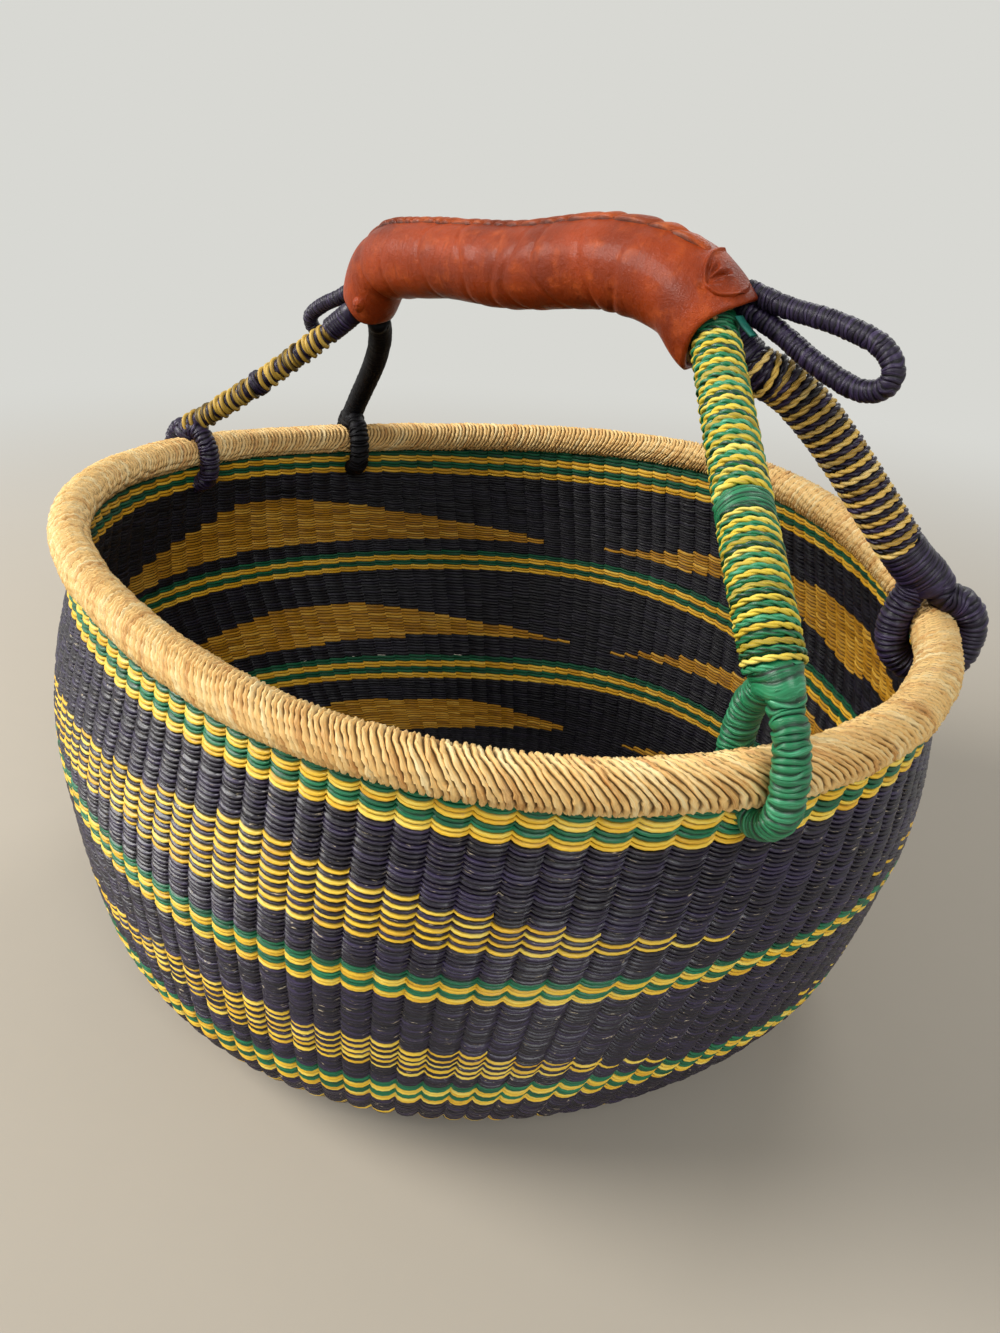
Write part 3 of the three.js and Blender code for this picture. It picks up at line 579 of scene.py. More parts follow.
# Straws: base, dark, light and fleck colours, share of flecks, roughness, painted groove shade, gloss,
# shine, bump, spread
dull = (0.42, 0.62)
woven_straws = {
    "navy_straw": ("#181022 #0b070f #3a2f52 #dccaa8", 0.1, (0.24, 0.4), 0.95, 0.22, 0.35),
    "green_straw": ("#0a6540 #063f28 #1f8a5c #d8d49a", 0.01, (0.28, 0.46), 0.85, 0.15, 0.35),
    "gold_straw": ("#f6c833 #d49a20 #fee873 #fff2c0", 0.02, (0.34, 0.5), 0.7, 0.1, 0.4),
    # The inner straws are darker copies of the outer ones: painted shade on the inside of the basket
    "inside_shaded_navy_straw": ("#0e0c13 #060509 #221e2c #6a6052", 0.03, (0.36, 0.5), 0.9, 0.0, 0.25),
    "inside_shaded_green_straw": ("#084c2f #052f1e #12663f #8a9a60", 0.0, dull, 0.8, 0.0, 0.25),
    "inside_shaded_gold_straw": ("#b27c14 #6d4608 #e0b24a #e8cc80", 0.01, dull, 0.85, 0.0, 0.25),
    "inside_shaded_yellow_straw": ("#dca51c #a87410 #f0c850 #f0d890", 0.01, dull, 0.8, 0.0, 0.3),
}
wound_straws = {
    "leg_green_straw": ("#1a7a4c #0a4a2e #4fae80 #d9e2b8", 0.06, (0.26, 0.44), 0.85, 0.2, 0.4),
    "leg_yellow_straw": ("#e6ca3e #bf9b28 #f8e87c #fff6cc", 0.01, dull, 0.55, 0.0, 0.45),
    "leg_gold_straw": ("#e6bc58 #b88c34 #f8dc92 #f8e8ba", 0.01, dull, 0.55, 0.0, 0.45),
    "old_gold_straw": ("#c29c3c #7f6320 #e2c268 #efdc9a", 0.01, dull, 0.9, 0.0, 0.45),
    "leg_navy_straw": ("#221930 #0f0a17 #493c60 #a79ab0", 0.03, (0.3, 0.46), 0.9, 0.1, 0.3),
    "black_straw": ("#08070b #040305 #15121b #3a3444", 0.01, dull, 0.7, 0.0, 0.15),
    "natural_straw": ("#f5cb82 #c98f4c #ffeab2 #fff4d2", 0.01, (0.48, 0.66), 0.8, 0.0, 0.45, 0.3, 0.65),
    "bundled_straw": ("#9a7c4c #5f4728 #c0a06a #d8bd88", 0.0, dull, 0.55, 0.0, 0.45),
    "teal_strip": ("#1d7767 #0f4a40 #3c9c88 #8fc4b4", 0.0, dull, 0.55, 0.0, 0.45),
}
looks = {name: straw_material(name, True, *straw) for name, straw in woven_straws.items()}
looks |= {name: straw_material(name, False, *straw) for name, straw in wound_straws.items()}


def leather_material(name, colors, laced=False):
    """Worn leather: clouds, stains, pores and creases, with painted shade in the hollows of its relief;
    laced, painted shade at its notches and edges.
    """
    base, dark, light = map(rgb, colors.split())
    g = Graph(bpy.data.materials.new(name))
    scaled = lambda vector, *scale: g.add("ShaderNodeMapping", {"Vector": vector, "Scale": scale})
    place = scaled(g.add("ShaderNodeTexCoord", out=3), 1 / MM, 1 / MM, 1 / MM)
    cloud = g.noise(place, 0.035, 2.0)
    stain = g.noise(place, 0.12, 4.0, 0.6)
    pores = g.add("ShaderNodeTexVoronoi", {"Vector": place, "Scale": 1.3}, feature="DISTANCE_TO_EDGE")
    fine = g.noise(place, 1.8, 4.0, 0.6)
    dimple = g.noise(place, 0.42, 4.0, 0.65)
    wrinkle = g.noise(scaled(place, 0.34, 0.05, 0.06), 1.0, 5.0, 0.6)
    color = g.mix(g.ramp(cloud, 0.3, 0.7), dark, base)
    color = g.mix(g.ramp(stain, 0.48, 0.75, 0.0, 0.6), color, light)
    # Painted shade: darker in the hollows of the dimples and wrinkles of the bump below
    color = g.mix(g.ramp(dimple, 0.3, 0.5, 0.35, 0.0), color, dark)
    color = g.mix(g.ramp(wrinkle, 0.3, 0.42, 0.5, 0.0), color, dark)
    if laced:
        along, across = g.pattern()
        # Painted shade at the notches between the welt's swellings, and a painted shadow along its edges
        notch_shade = g.ramp(g.from_middle(along), 0.42, 0.5, 0.0, 0.9)
        side = g.ramp(g.calc("ABSOLUTE", across), 0.8, 0.97, 0.0, 0.95)
        color = g.mix(g.calc("MAXIMUM", notch_shade, side), color, dimmed(dark, 0.25))
    height = g.total((g.ramp(pores, 0.0, 0.12), 0.25), (fine, 0.35), (wrinkle, 1.8), (dimple, 1.6))
    return g.finish(color, g.ramp(stain, 0.3, 0.7, 0.32, 0.48), height, 0.312 * MM, 0.2, 0.06, 0.16)


looks["leather"] = leather_material("leather", "#a33d0c #7a2a07 #bd5520")
looks["laced_leather"] = leather_material("laced_leather", "#b55220 #772d0d #cf733c", laced=True)


# Woven wall and base

# One stitch over a rib: its columns, how deep they lie, and how far it sags from its higher left tip
outside_stitch = dict(u=[0, 0.12, 0.33, 0.58, 0.83, 1.0], sink=[1.6, 0.6, 0.05, 0.0, 0.42, 1.45],
                      shift=[0.85, 0.34, -0.26, -0.48, -0.34, 0.1], round=1.3)
inside_stitch = dict(u=[0, 0.3, 0.7, 1.0], sink=[1.2, 0.1, 0.1, 1.2], shift=[-0.3, -0.2, 0.1, 0.3],
                     round=0.95)
innermost = 14.0


def slant(along):
    """How far the ribs lean as they climb, in ribs."""
    return rib_lean * (along - base_radius) / (profile_along[-1] - base_radius)


def flame_share(angle, height):
    degrees = np.degrees(angle)
    inside = np.zeros(angle.shape, bool)
    for angles, lows, highs in flames:
        middle = (angles[0] + angles[-1]) / 2
        near = (degrees - middle + 180) % 360 - 180 + middle
        low, high = (np.interp(near, angles, edge) for edge in (lows, highs))
        inside |= (near > angles[0]) & (near < angles[-1]) & (height > low) & (height < high)
    return inside


def weave(low, high, band, outside, seed, ribs=rib_count):
    """One face of a band of the weave; its stitches' materials are 0 for navy, 1 for green, 2 for gold."""
    stitch = outside_stitch if outside else inside_stitch
    count = max(1, int(round((high - low) / strand_pitch)))
    pitch = (high - low) / count
    rows_each = 2 if not outside else 4 if count < 36 else 3
    rib = np.append(np.repeat(np.arange(ribs), len(stitch["u"])), ribs)
    column = lambda key: np.append(np.tile(stitch[key], ribs), stitch[key][0])
    u = column("u")
    width = np.cumsum(1 + 0.09 * np.random.RandomState(5).uniform(-1, 1, ribs))
    edge = np.concatenate([[0], width / width[-1] * ribs])
    phase = edge[rib] + np.append(np.diff(edge), 1.0)[rib] * (0.03 + 0.94 * u)
    row = np.arange(count * rows_each + 1)
    strand = np.minimum(row // rows_each, count - 1)
    v = row / rows_each - strand
    rng = np.random.RandomState(seed)
    jitter_along = 0.26 * rng.uniform(-1, 1, (count, ribs + 1))
    jitter_sink = 0.45 * rng.uniform(0, 1, (count, ribs + 1)) ** 2
    for jitter in (jitter_along, jitter_sink):
        jitter[:, -1] = jitter[:, 0]
    along = low + (strand[:, None] + v[:, None]) * pitch + column("shift") + jitter_along[strand][:, rib]
    along = np.clip(along, innermost, profile_along[-1] - 1)
    round_sink = stitch["round"] * np.abs(2 * (row % rows_each) / rows_each - 1) ** 2.5
    depth = column("sink") + round_sink[:, None] + jitter_sink[strand][:, rib]
    if not outside:
        depth = wall_thickness - depth
    angle = (phase + slant(along) * ribs / rib_count) / ribs * TURN
    uv = stacked(rib + 0.02 + 0.96 * u, (strand + np.where(v >= 1, 0.999, v))[:, None] + seed * 100.0)
    part = grid(wall_place(angle, along, depth), uv, closed=True)
    k = np.arange(count)[:, None]
    place = low + (k + 0.5) * pitch
    height = np.where(place > base_radius, np.interp(place, profile_along, profile_line[:, 1]), -1.0)
    middle = (edge[:-1] + 0.5 + slant(place) * ribs / rib_count) / ribs * TURN
    if band == "stripe":
        kinds = np.where(np.isin(k // 2, (0, 2)), 2, 1)
    else:
        kinds = np.where(flame_share(middle, height) & ((k % 2 == 0) | (not outside)), 2, 0)
    kinds = np.repeat(np.broadcast_to(kinds, middle.shape)[:, rib[:-1]], rows_each, axis=0)
    if not outside:
        part = flipped(part)
    return (*part, kinds.ravel(), np.repeat(row % rows_each == 0, len(rib) - 1))


def weave_piece(low, high, band, number, outside, seed):
    side = "outer" if outside else "inner"
    nodes = [f"weft_{band}_{number}_{side}"]
    if band == "stripe" and number == 1 and outside:
        nodes.append("warp_stakes")
    # Inside, darker copies of the straws: painted shade on the inside of the basket
    inner_gold = "inside_shaded_yellow_straw" if band == "stripe" else "inside_shaded_gold_straw"
    materials = ("navy_straw", "green_straw", "gold_straw") if outside else (
        "inside_shaded_navy_straw", "inside_shaded_green_straw", inner_gold)
    slot = "green_straw" if band == "stripe" else "navy_straw"
    part = weave(low, high, band, outside, seed + outside)
    make_piece(f"{band}_{number}_{side}_twining", part, nodes, slot, *materials, body="basket")


edges = [(along_at_height(h), along_at_height(h + stripe_height)) for h in stripe_heights]
edges[0] = (edges[0][0], profile_along[-1] - top_margin)
for i, (low, high) in enumerate(edges):
    below = edges[i + 1][1] if i < 2 else base_radius
    for outside in (True, False):
        weave_piece(low, high, "stripe", i + 1, outside, 10 * i + 1)
        weave_piece(below, low, "field", i + 1, outside, 10 * i + 5)


def base_piece(name, outside, node, seed, inner_ring=68.0, start=16.0, half=16.5, check=6.6, relief=0.35):
    """A ring with all ribs, one with half as many, and a crossed middle."""
    parts = [weave(inner_ring, base_radius, "field", outside, seed),
             weave(start, inner_ring, "field", outside, seed, rib_count // 2)]
    x = np.linspace(-half, half, 23)
    y = x[:, None]
    sheet = relief - relief * np.sin(x * TURN / check) * np.sin(y * TURN / check)
    z = sheet if outside else wall_thickness - sheet
    middle = grid(stacked(x, y, z), stacked(x / check * 2 + 40, y / check * 4 + 40))
    parts.append(flipped(middle) if outside else middle)
    # Inside, a darker copy of the navy straw: painted shade
    material = "navy_straw" if outside else "inside_shaded_navy_straw"
    make_piece(name, joined(parts), [node], "navy_straw", material, body="basket")


base_piece("base_under_twining", True, "base_weft_under", 71)
base_piece("base_upper_twining", False, "base_weft_upper", 81)


# Wrapped rim

def cord_relief(q, turned, ply, reach):
    """Height of two twisted plies at a place q across their cord, as they turn."""
    x = (q - 0.5) * 2 * (ply + reach)
    height = np.full(np.broadcast(x, turned).shape, -ply)
    for side in (0, math.pi):
        away = x - reach * np.cos(turned + side)
        top = np.sqrt(np.maximum(ply ** 2 - away ** 2, 0)) + reach * np.sin(turned + side)
        height = np.where(np.abs(away) < ply, np.maximum(height, top), height)
    return height


def rim_wrapping(turns=540, around=46, lays=6.5, ply=0.62, reach=0.5, proud=0.65):
    """The rim wound with a cord of two straws, as one closed spiral."""
    rows = np.arange(turns * strand_rows)[:, None]
    own = np.floor(rows / strand_rows)
    angles = np.arange(around + 1) / around
    angle = angles * TURN
    phase = rows / strand_rows + angles
    lean = 3.3 + 1.3 * drift(own, 27.0, 31)
    push = lean * np.cos(angle + 0.7) + 0.25 * drift(own * 2.3 + 2 * np.cos(angle), 1.0, 32)
    place = (phase + push) / turns * TURN
    turned = TURN * lays * (own + angles) + 1.5 * drift(own, 3.0, 35)
    lift = 1.3 * (cord_relief(rows / strand_rows - own, turned, ply, reach) - ply - reach) + proud
    lift = lift + 0.22 * drift(own * 5.1, 1.0, 33) + 0.3 * drift(phase + 3 * np.sin(angle), 9.0, 34)
    upward = np.array([0.0, 0.0, 1.0])
    points = around_line(rim_centre(place), rim_outward(place), upward, angle, rim_tube + lift)
    uv = stacked((angles + own) * TURN * rim_tube / strand_unit, rows / strand_rows)
    starts = rows * around
    index = np.hstack([starts + np.arange(around), np.roll(starts, -strand_rows, axis=0)])
    after = np.roll(index, -1, axis=0)
    later = uv + np.array([0, 1.0 / strand_rows])
    quads, corners = (np.stack([one[:, :-1], two[:, :-1], two[:, 1:], one[:, 1:]], 2)
                      for one, two in ((index, after), (uv, later)))
    return (points[:, :-1].reshape(-1, 3), quads.reshape(-1, 4), corners.reshape(-1, 4, 2), 0,
            np.repeat(rows % strand_rows == 0, around))


make_piece("rim_wrapping", rim_wrapping(), ["rim_wrap", "rim_core"], "natural_straw", "natural_straw",
           body="basket")


# Leather grip

grip_line = smooth_curve([(a * half_span, grip_back, rim_height + r * rise)
                          for a, r in zip(grip_along, grip_rise)], 241)
grip_tangent = unit(np.gradient(grip_line, axis=0))
grip_normal = stacked(-grip_tangent[:, 2], 0.0, grip_tangent[:, 0])
grip_binormal = np.cross(grip_tangent, grip_normal)
grip_length = length_of(grip_line)


def grip_size(t):
    return grip_radius * np.interp(t, np.linspace(0, 1, len(grip_girth)), grip_girth)


def grip_frame(t):
    place = np.clip(t, 0, 1) * (len(grip_line) - 1)
    return [sampled(table, place) for table in (grip_line, grip_tangent, grip_normal, grip_binormal)]


def on_grip(t, angle, size):
    centre, tangent, normal, binormal = grip_frame(t)
    return around_line(centre, normal, binormal, angle, size)


def leather_relief(t, angle):
    """Creases, a worn seam along the ridge, and the pinched point of the tuck."""
    height = 0 * t * angle
    for k, where in enumerate(crease_shares):
        bend = where + 0.022 * np.sin(angle + 1.7 * k) + 0.008 * np.sin(3 * angle + k)
        strong = 0.5 + 0.5 * np.cos(angle - 2.2 - 0.8 * math.sin(1.9 * k))
        height = height - 0.55 * strong * bump(t - bend, 0.006)
        height = height + 0.35 * strong * bump(t - bend - 0.02, 0.016)
    height = height + 0.35 * drift(t * 60 + 4 * np.sin(angle) + 3, 4.0, 41)
    ridge = bump((angle + math.pi) % TURN - math.pi, 0.16)
    seam = np.clip((t - 0.14) / 0.05, 0, 1) * np.clip((0.9 - t) / 0.04, 0, 1)
    around = ((angle - pinch_angle + math.pi) % TURN - math.pi) * grip_radius
    pinch = np.exp(-(((t - pinch_share) * grip_length) ** 2 + around ** 2) / 1.3 ** 2)
    return height + 0.5 * ridge * seam - 2.2 * pinch


def leather_grip(rows=221, columns=97, proud=0.6, thinned=0.9, inside=11):
    """The sleeve's outer face, the edges of its mouths and a little way in."""
    t = np.linspace(0, 1, rows)[:, None]
    angle = np.linspace(0, TURN, columns)
    size = np.minimum(grip_size(t) + leather_relief(t, angle), grip_size(t) + proud)
    size = size - (thinned * np.exp(-t / 0.012) + thinned * np.exp(-(1 - t) / 0.012))
    centre, tangent, normal, binormal = grip_frame(t)
    wave = 1.3 * np.sin(3 * angle + 0.7) * (np.exp(-(1 - t) / 0.05) - np.exp(-t / 0.05))
    outer = around_line(centre, normal, binormal, angle, size) + tangent * wave[..., None]

    def mouth(end, deep, way):
        """From the outer face round the edge to the deepest row inside."""
        thick = leather_thickness / grip_size(float(end == -1))
        turned = []
        for share in (0.25, 0.6, 1.0):
            edge = outer[end] + (centre[end] - outer[end]) * (thick * share)
            turned.append(edge + tangent[end] * (way * 0.35 * math.sin(math.pi * share)))
        return np.stack(turned + [centre[deep] + (outer[deep] - centre[deep]) * (1 - thick)])

    points = np.vstack([mouth(0, inside, -1)[::-1], outer, mouth(-1, -1 - inside, 1)])
    points[:, -1] = points[:, 0]
    uv = stacked(np.linspace(0, 1, len(points))[:, None] * 20, np.linspace(0, 1, columns) * 9)
    return grid(points, uv, closed=True)


make_piece("grip_leather_sleeve", leather_grip(), ["leather_grip"], "leather", "leather")


def bundle_in_grip(count=40, straw=1.95, rings=((0.5, 6), (1.0, 14))):
    """Straws in rings round one in the middle, some a little shorter."""
    t = np.linspace(0.0, 1.0, count)
    line, tangent, normal, binormal = grip_frame(t)
    rng = np.random.RandomState(12)
    inner = grip_size(t) - leather_thickness - fit_gap - 1.9
    parts = []
    places = [(0.0, 0.0)] + [(reach, k / ring * TURN) for reach, ring in rings for k in range(ring)]
    for reach, angle in places:
        path = around_line(line, normal, binormal, angle + 0.5 * t, reach * inner)
        start, stop = rng.randint(0, 2), count - rng.randint(0, 2)
        parts.append(tube(path[start:stop], normal[0], straw, rng.randint(0, 40)))
    return joined(parts)[:3]


make_piece("grip_straw_bundle", bundle_in_grip(), ["grip_bundle"], "bundled_straw", "bundled_straw")


def seam_welt(links=22, first=0.1, last=0.915, width=6.6):
    """The folded edge of the leather, which swells between its stitches."""
    a = np.linspace(0, 1, links * 14 + 1)[:, None]
    b = np.linspace(-1, 1, 17)
    t = first + (last - first) * a
    phase = links * (1.36 * a - 0.36 * a ** 2) + 0.55 * drift(a * links, 1.3, 51) + 0.3 * b
    swell = np.abs(np.sin(np.pi * phase)) ** 0.45
    ends = np.clip(np.minimum(a, 1 - a) / 0.03, 0, 1) ** 0.5
    half = width / 2 * (0.68 + 0.32 * swell) * (0.5 + 0.5 * ends)
    height = (2.3 * swell * ends - 0.5) * (1 - b ** 10) - 0.9 * b ** 10
    size = grip_size(t) + height
    wander = seam_turn * (0.6 + 0.4 * a) + 0.03 * np.sin(9 * a)
    points = on_grip(t, wander + b * half / size, size)
    return flipped(grid(points, stacked(phase, b)))


make_piece("grip_laced_seam", seam_welt(), ["grip_lacing"], "thread", "laced_leather")


def patch_on_grip(share, around, length, width, relief, count):
    """A patch of leather on the grip, with a relief over its own square."""
    b = np.linspace(-1, 1, count)
    a = b[:, None]
    t = share + a * length / 2 / grip_length
    angle = around + b * width / 2 / grip_size(share)
    points = on_grip(t, angle, grip_size(t) + relief(a, b, np.sqrt(a * a + b * b)))
    return flipped(grid(points, stacked(a * 3 + 20, b * 3 + 20)))


# Pleats of the tuck: degrees, reach and depth
tuck_pleats = ((-133, 0.75, 1.3), (-116, 0.8, 1.4), (-94, 0.95, 2.0), (-70, 0.6, 1.0))


def tuck_relief(a, b, reach):
    """Leather drawn together at a pinched point, with rolled edges and pleats."""
    x, y = a - 0.05, b - 0.61
    away = np.hypot(x, y)
    turned = np.degrees(np.arctan2(y, x))
    arc = lambda degrees: np.radians(turned - degrees) * away
    from_fold, from_lower = arc(26 * away - 157), -arc(8 - 36 * away)
    inside = np.clip(from_fold / 0.05 + 0.5, 0, 1) * np.clip(from_lower / 0.05 + 0.5, 0, 1)
    pleats = 0 * away
    for degrees, reach_out, depth in tuck_pleats:
        length = np.clip((reach_out - away) / 0.25, 0, 1) * np.clip(away / 0.15, 0, 1)
        pleats = pleats - depth * bump(arc(degrees + 8 * away), 0.065) * length
        pleats = pleats + 0.4 * bump(arc(degrees + 8 * away + 9), 0.07) * length
    roll = 0.7 * bump(from_fold - 0.07, 0.05)
    hem = 0.35 * bump(from_lower - 0.06, 0.05)
    body = 1.35 - 0.35 * np.clip(from_fold, 0, 1) + roll + hem + pleats
    faded = np.clip(3.2 - 2.9 * np.abs(b), 0, 1) * np.clip(6 - 5.2 * reach, 0, 1)
    return -1.0 + inside * (1.0 + body * (1 - 0.95 * bump(away, 0.13))) * faded


def knot_relief(a, b, reach):
    """A small dome with three folds on its top."""
    dome = 2.1 * np.clip(1 - reach ** 2.2, -0.25, 1)
    return dome + 0.35 * np.sin(3 * np.arctan2(b, a)) * bump(reach, 0.5)


tuck = patch_on_grip(0.948, math.radians(24), 20, 22, tuck_relief, 121)
make_piece("grip_gathered_tuck", tuck, ["grip_tuck"], "leather", "leather")
knot = patch_on_grip(0.03, math.radians(118), 7.5, 6.5, knot_relief, 21)
make_piece("grip_knot_end", knot, ["grip_knot"], "leather", "leather")


# Legs

def leg_line(leg):
    """From inside the grip's mouth to the crotch of the leg's fork."""
    side = leg["side"]
    end = grip_along[-1] if side > 0 else grip_along[0]
    mx, my, mz = leg["mouth"]
    mouth = np.array([(end + side * mx) * half_span, grip_back + my * rise, rim_height + mz * rise])
    foot = on_rim(math.radians(leg["ring"]), -leg["inward"], crotch(leg) + leg["neck_height"])
    pull = lambda shares, base: base + np.array([side * shares[0], shares[1], shares[2]]) * rise
    line = bezier(mouth, pull(leg["leave"], mouth), pull(leg["arrive"], foot), foot, 161)
    if leg["root"]:
        root = mouth + np.array(leg["root"])
        line = smooth_curve([root, line[0] * 0.6 + line[8] * 0.4, *line[16::16]], 181)
    start = unit(line[0] - line[1]) * leg["radius"] * 0.9
    down = unit(unit(line[-1] - line[-4]) + np.array([0, 0, -1.0])) * leg["neck"]
    shares = np.linspace(0, 1, leg["neck_steps"] + 1)[1:, None]
    return np.vstack([line[0] + start, line, line[-1] + down * shares])


def ring_radius(leg):
    return rim_tube + ring_gap + leg["strand"]


def crotch(leg):
    """Height over the rim's centre where the two strands of a fork part."""
    half = leg["strand"] + fit_gap / 2
    return math.sqrt(ring_radius(leg) ** 2 - half ** 2) + leg["raised"]


def ring_line(leg):
    """The fork's strand, from inside the leg round the rim and up again."""
    angle = math.radians(leg["ring"])
    reach = ring_radius(leg) - strand_press
    half = leg["strand"] + fit_gap / 2
    drop = 0.0 if leg["raised"] > 0 else ring_drop
    spread = math.acos(half / reach)
    tall = crotch(leg) / math.sin(spread)
    side = []
    for i, sway in enumerate((0.8, 0.25, 0.0, 0.0)):
        turned = spread * (1 - i / 3)
        side.append((reach * math.cos(turned), tall * math.sin(turned), sway * leg["inward"]))
    for i in (1, 2):
        side.append((reach * math.cos(TURN / 4 * i / 3), -drop - reach * math.sin(TURN / 4 * i / 3), 0))
    outline = [(o - sway, up) for o, up, sway in side] + [(0, -drop - reach)]
    outline += [(-o - sway, up) for o, up, sway in reversed(side)]
    points = [on_rim(angle, o, up) for o, up in outline]
    line = evenly(leg_line(leg), 200)
    outward = rim_outward(angle)
    step = length_of(line) / (len(line) - 1)
    for climb, share in zip((4.0, 10.0, 20.0), leg["fork_shares"]):
        inside = line[-1 - int(climb / step)]
        points = [inside + outward * half * share] + points + [inside - outward * half * share]
    return smooth_curve(points, 221)


def first_normal(leg, line):
    """The first normal of a leg's frames, such that they end facing out from the rim."""
    tangent, normal, binormal = frames_along(line[::-1], rim_outward(math.radians(leg["ring"])))
    return normal[-1]


def cord_radius(coil, line):
    return length_of(line) * (coil["stop"] - coil["start"]) / coil["turns"] / 4


def coiled_cord(coil, offset):
    """One of two cords laid side by side round a stretch of a leg."""
    leg = legs[coil["leg"]]
    line = leg_line(leg)
    turns = coil["turns"]
    radius = cord_radius(coil, line) * coil["width"]
    count = int(turns * 30)
    place = np.linspace(coil["start"], coil["stop"], count) * (len(line) - 1)
    frames = frames_along(line, first_normal(leg, line))
    tangent, normal, binormal = (sampled(table, place) for table in frames)
    angle = -(np.linspace(0, turns, count) + offset) * TURN
    away = around_line(0, normal, binormal, angle, 1.0)
    ends = np.minimum(np.arange(count), np.arange(count)[::-1]) / 9.0
    lift = leg["radius"] + cord_proud - radius - 1.8 * radius * np.clip(1 - ends, 0, 1)
    wobble = 0.12 * drift(np.arange(count), 11.0, int(turns * 7))
    path = sampled(line, place) + away * (lift + wobble)[:, None]
    return twisted_cord(path, away, radius * 1.02, coil["lay"], int(turns * 3 + offset * 10))


def wound_leg(name, seed):
    """A leg's winding, sunk where cords lie, with the second cord of each pair."""
    leg = legs[name]
    line = leg_line(leg)
    first = first_normal(leg, line)
    covers = [coil for coil in coils.values() if coil["leg"] == name]
    near_fork = lambda s: np.clip((s - 0.92) / 0.08, 0, 1) ** 1.5

    def sunk(s):
        total = 0 * s
        for coil in covers:
            inside = np.clip((s - coil["start"]) / 0.012, 0, 1) * np.clip((coil["stop"] - s) / 0.012, 0, 1)
            total = total + coil["sunk"] * cord_radius(coil, line) * inside
        return total

    wide, narrow = (lambda s, size=size: leg["radius"] - sunk(s) + (size - leg["radius"]) * near_fork(s)
                    for size in leg["fork"])
    parts = [wound(line, first, wide, leg["pitch"], 48, 0.4, 0.3, seed, narrow)]
    for coil in covers:
        if coil["paired"]:
            parts += coiled_cord(coil, 0.5)
    if name == "front_left":
        low, high = (int(share * len(line)) for share in dark_band)
        band_radius = lambda s: leg["radius"] + dark_band_proud + 0 * s
        parts.append(wound(line[low:high], first, band_radius, leg["pitch"], 32, 0.45, 0.0, seed))
    return joined(parts)


def wound_ring(leg, seed):
    """A fork's strands as one ring, thinner where they begin inside the leg."""
    along = rim_along(math.radians(leg["ring"]))
    begun = lambda s: 0.72 + 0.28 * np.clip(np.sin(np.pi * s) / 0.35, 0, 1)
    swollen = lambda s: leg["swell"] * np.sin(np.pi * s) ** 0.7
    size = lambda s: (leg["strand"] + 0.1) * begun(s) + swollen(s)
    thick = lambda s: (leg["strand"] - 0.3) * begun(s) + 0.6 * swollen(s)
    return wound(ring_line(leg), along, size, leg["pitch"], 40, 0.75, 0.6, seed, thick)


for number, (name, leg) in enumerate(legs.items()):
    make_piece(f"leg_{name}_winding", wound_leg(name, 3 + 2 * number),
               [f"leg_core_{name}", f"leg_wrap_{name}"], leg["look"].removeprefix("leg_"), leg["look"])
for name, coil in coils.items():
    make_piece(name, joined(coiled_cord(coil, 0.0))[:3], [coil["node"]], "gold_straw", coil["look"])
for number, (name, leg) in enumerate(legs.items()):
    make_piece(f"ring_{name}_winding", wound_ring(leg, 31 + number), [f"rim_ring_{name}"],
               leg["look"].removeprefix("leg_"), leg["look"])


# End loops and the strip's end

def loop_line(loop):
    """From inside the grip's mouth out round the loop and back."""
    side = loop["side"]
    end = len(grip_line) - 1 if side > 0 else 0
    reach = loop["width"] / 2 - loop_strand
    radius = grip_size(1.0 if side > 0 else 0.0)
    up, back = loop["mouth"]
    start = grip_line[end] + grip_normal[end] * up * radius + np.array([0, back * radius, 0])
    outline = [(a * loop["length"], c * reach) for a, c in loop_outline]
    outline = outline + [(loop["length"], 0.0)] + [(a, -c) for a, c in reversed(outline)]
    droop, roll = math.radians(loop["droop"]), math.radians(loop["roll"])
    x, c = np.array(outline).T
    y, z = c * math.sin(roll), c * math.cos(roll)
    x, z = x * math.cos(droop) + z * math.sin(droop), -x * math.sin(droop) + z * math.cos(droop)
    return smooth_curve(start + stacked(x * side, y, z), 161)


for side, loop in loops.items():
    part = wound(loop_line(loop), (0, 1, 0), lambda s: loop_strand - 0.1 + 0 * s, 1.75, 28, 0.4, 0.45, 17)
    make_piece(f"end_loop_{side}_winding", part, [f"end_loop_{side}"], "navy_straw", "leg_navy_straw")

strip_length = 9.0
strip_bow = 0.6
strip_outline = [(2.0, 0.35), (1.0, 0.5), (0, 0.42), (-1.0, 0.5), (-2.0, 0.35), (-2.0, -0.35), (0, -0.3),
                 (2.0, -0.35), (2.0, 0.35)]


def strip_end():
    low, high = (np.array(c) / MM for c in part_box("tie_strip"))
    facing = grip_tangent[-1]
    across = np.array([0.0, 1.0, 0.0])
    up = np.cross(across, facing)
    t = np.linspace(0, 1, 12)[:, None]
    path = (low + high) / 2 + facing * ((t - 0.5) * strip_length) - across * strip_bow * np.sin(np.pi * t)
    points = np.array([[p + across * a + up * b for a, b in strip_outline] for p in path])
    return grid(points, stacked(t, np.linspace(0, 2, len(strip_outline))), closed=True)


make_piece("green_strip_end", strip_end(), ["tie_strip"], "teal_strip", "teal_strip")


# Stage, light and camera

backdrop_tone = rgb("#d8d8d3")
floor_tone = rgb("#b9b0a1")
floor_reach = 6
floor_fade = (0.35, 1.5)


def seen_rays(g):
    """1 for rays from the camera, also by way of a shiny or clear surface."""
    light = g.tree.nodes.new("ShaderNodeLightPath").outputs
    return g.calc("MAXIMUM", light["Is Camera Ray"],
                  g.calc("MAXIMUM", light["Is Glossy Ray"], light["Is Transmission Ray"]))


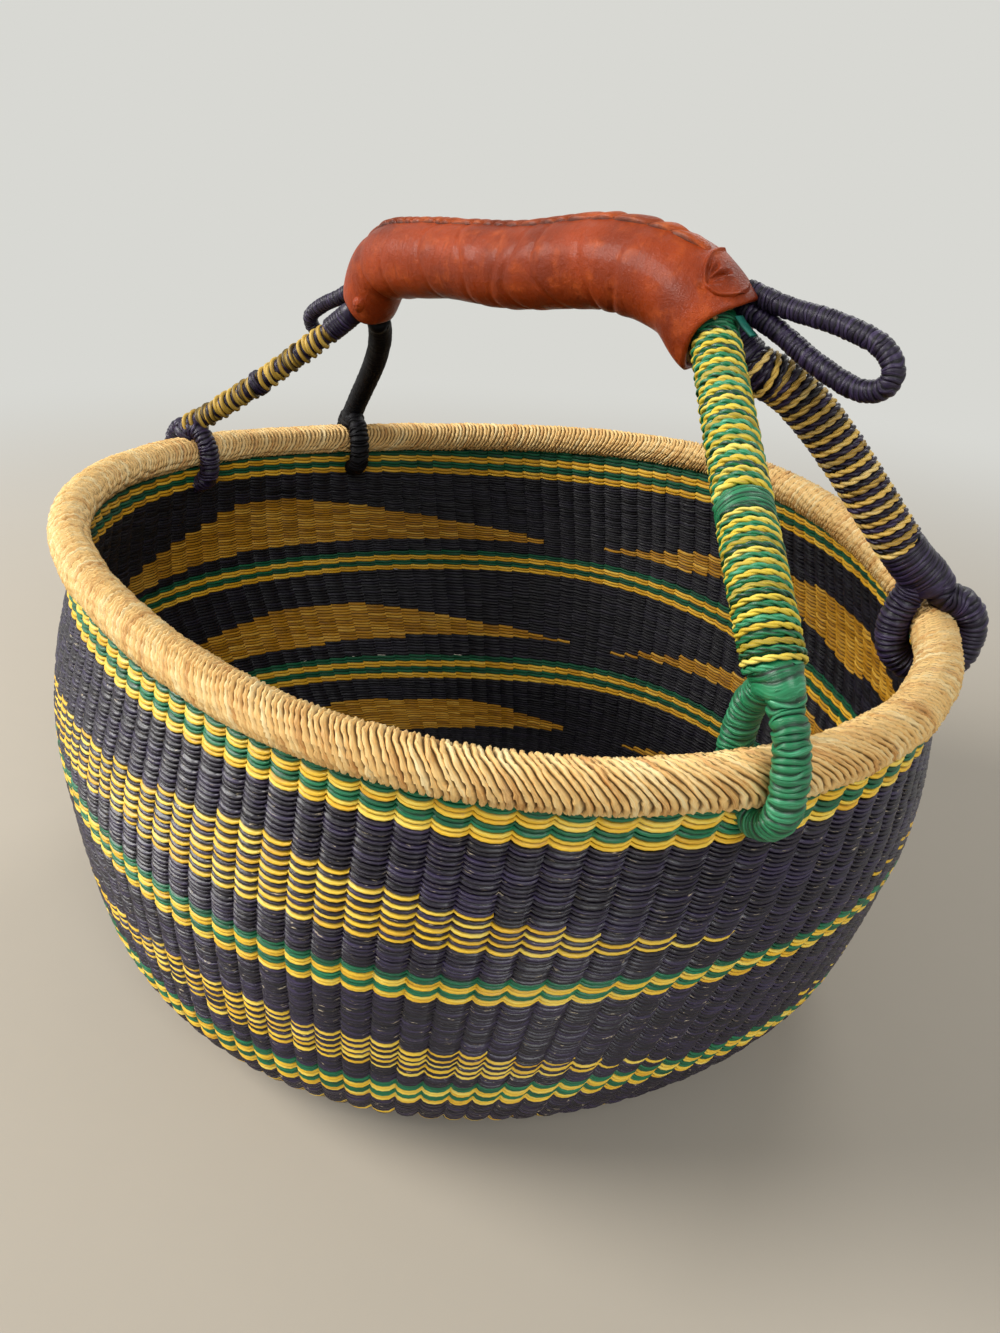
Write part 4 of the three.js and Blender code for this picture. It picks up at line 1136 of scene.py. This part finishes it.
def floor_material():
    """A pale floor that passes into the backdrop's tone far from the basket."""
    g = Graph(bpy.data.materials.new("floor"))
    place = g.add("ShaderNodeTexCoord", out=3)
    mottle = g.total((g.noise(place, 3.0, 4.0, 0.6), 0.7), (g.noise(place, 60.0, 3.0, 0.6), 0.3))
    shader = g.tree.nodes["Principled BSDF"]
    g.put(shader.inputs["Base Color"], g.mix(mottle, dimmed(floor_tone, 0.93), floor_tone))
    g.put(shader.inputs["Roughness"], 0.85)
    away = g.add("ShaderNodeVectorMath", {0: place}, out=1, operation="LENGTH")
    share = g.calc("MULTIPLY", g.ramp(away, *floor_fade), seen_rays(g))
    glow = g.add("ShaderNodeEmission", {"Color": backdrop_tone, "Strength": 1.0})
    blended = g.add("ShaderNodeMixShader", {0: share, 1: shader.outputs[0], 2: glow})
    g.put(g.tree.nodes["Material Output"].inputs[0], blended)
    return g.owner


floor_mesh = bpy.data.meshes.new("floor")
corners = [(x * floor_reach, y * floor_reach, 0) for x, y in ((-1, -1), (1, -1), (1, 1), (-1, 1))]
floor_mesh.from_pydata(corners, [], [(0, 1, 2, 3)])
floor_mesh.materials.append(floor_material())
placed("floor", floor_mesh)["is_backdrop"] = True


def lamp(name, place, aim_height, size, energy, color=(1, 1, 1)):
    data = bpy.data.lights.new(name, "AREA")
    data.shape = "DISK"
    data.size = size
    data.energy = energy
    data.color = color
    light = placed(name, data)
    light.location = place
    light.rotation_euler = (Vector((0, 0, aim_height)) - Vector(place)).to_track_quat("-Z", "Y").to_euler()


lamp("key", (-1.15, -1.45, 1.35), 0.15, 1.2, 54.0, (1.0, 0.98, 0.95))
lamp("fill", (1.5, -0.9, 1.5), 0.15, 1.2, 21.0, (0.98, 0.99, 1.0))
lamp("back", (-0.5, 1.7, 1.7), 0.2, 1.0, 12.0)

world = Graph(bpy.data.worlds.new("studio"))
bpy.context.scene.world = world.owner
room = world.tree.nodes["Background"]
room.inputs[0].default_value = (0.9, 0.92, 0.95, 1)
room.inputs[1].default_value = 0.3
seen = world.add("ShaderNodeBackground", {0: backdrop_tone, 1: 1.0})
blend = world.add("ShaderNodeMixShader", {0: seen_rays(world), 1: room.outputs[0], 2: seen})
world.put(world.tree.nodes["World Output"].inputs[0], blend)

camera_data = bpy.data.cameras.new("camera")
camera_data.sensor_width = 36.0
camera_data.lens = 27.036
camera_data.clip_start = 0.01
camera = placed("camera", camera_data)
camera.location = (0.316627, -0.298354, 0.355775)
camera.rotation_euler = tuple(math.radians(a) for a in (63.69625, -2.7975, 47.25202))
bpy.context.scene.camera = camera
bpy.context.scene.view_settings.view_transform = "Standard"

low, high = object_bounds()
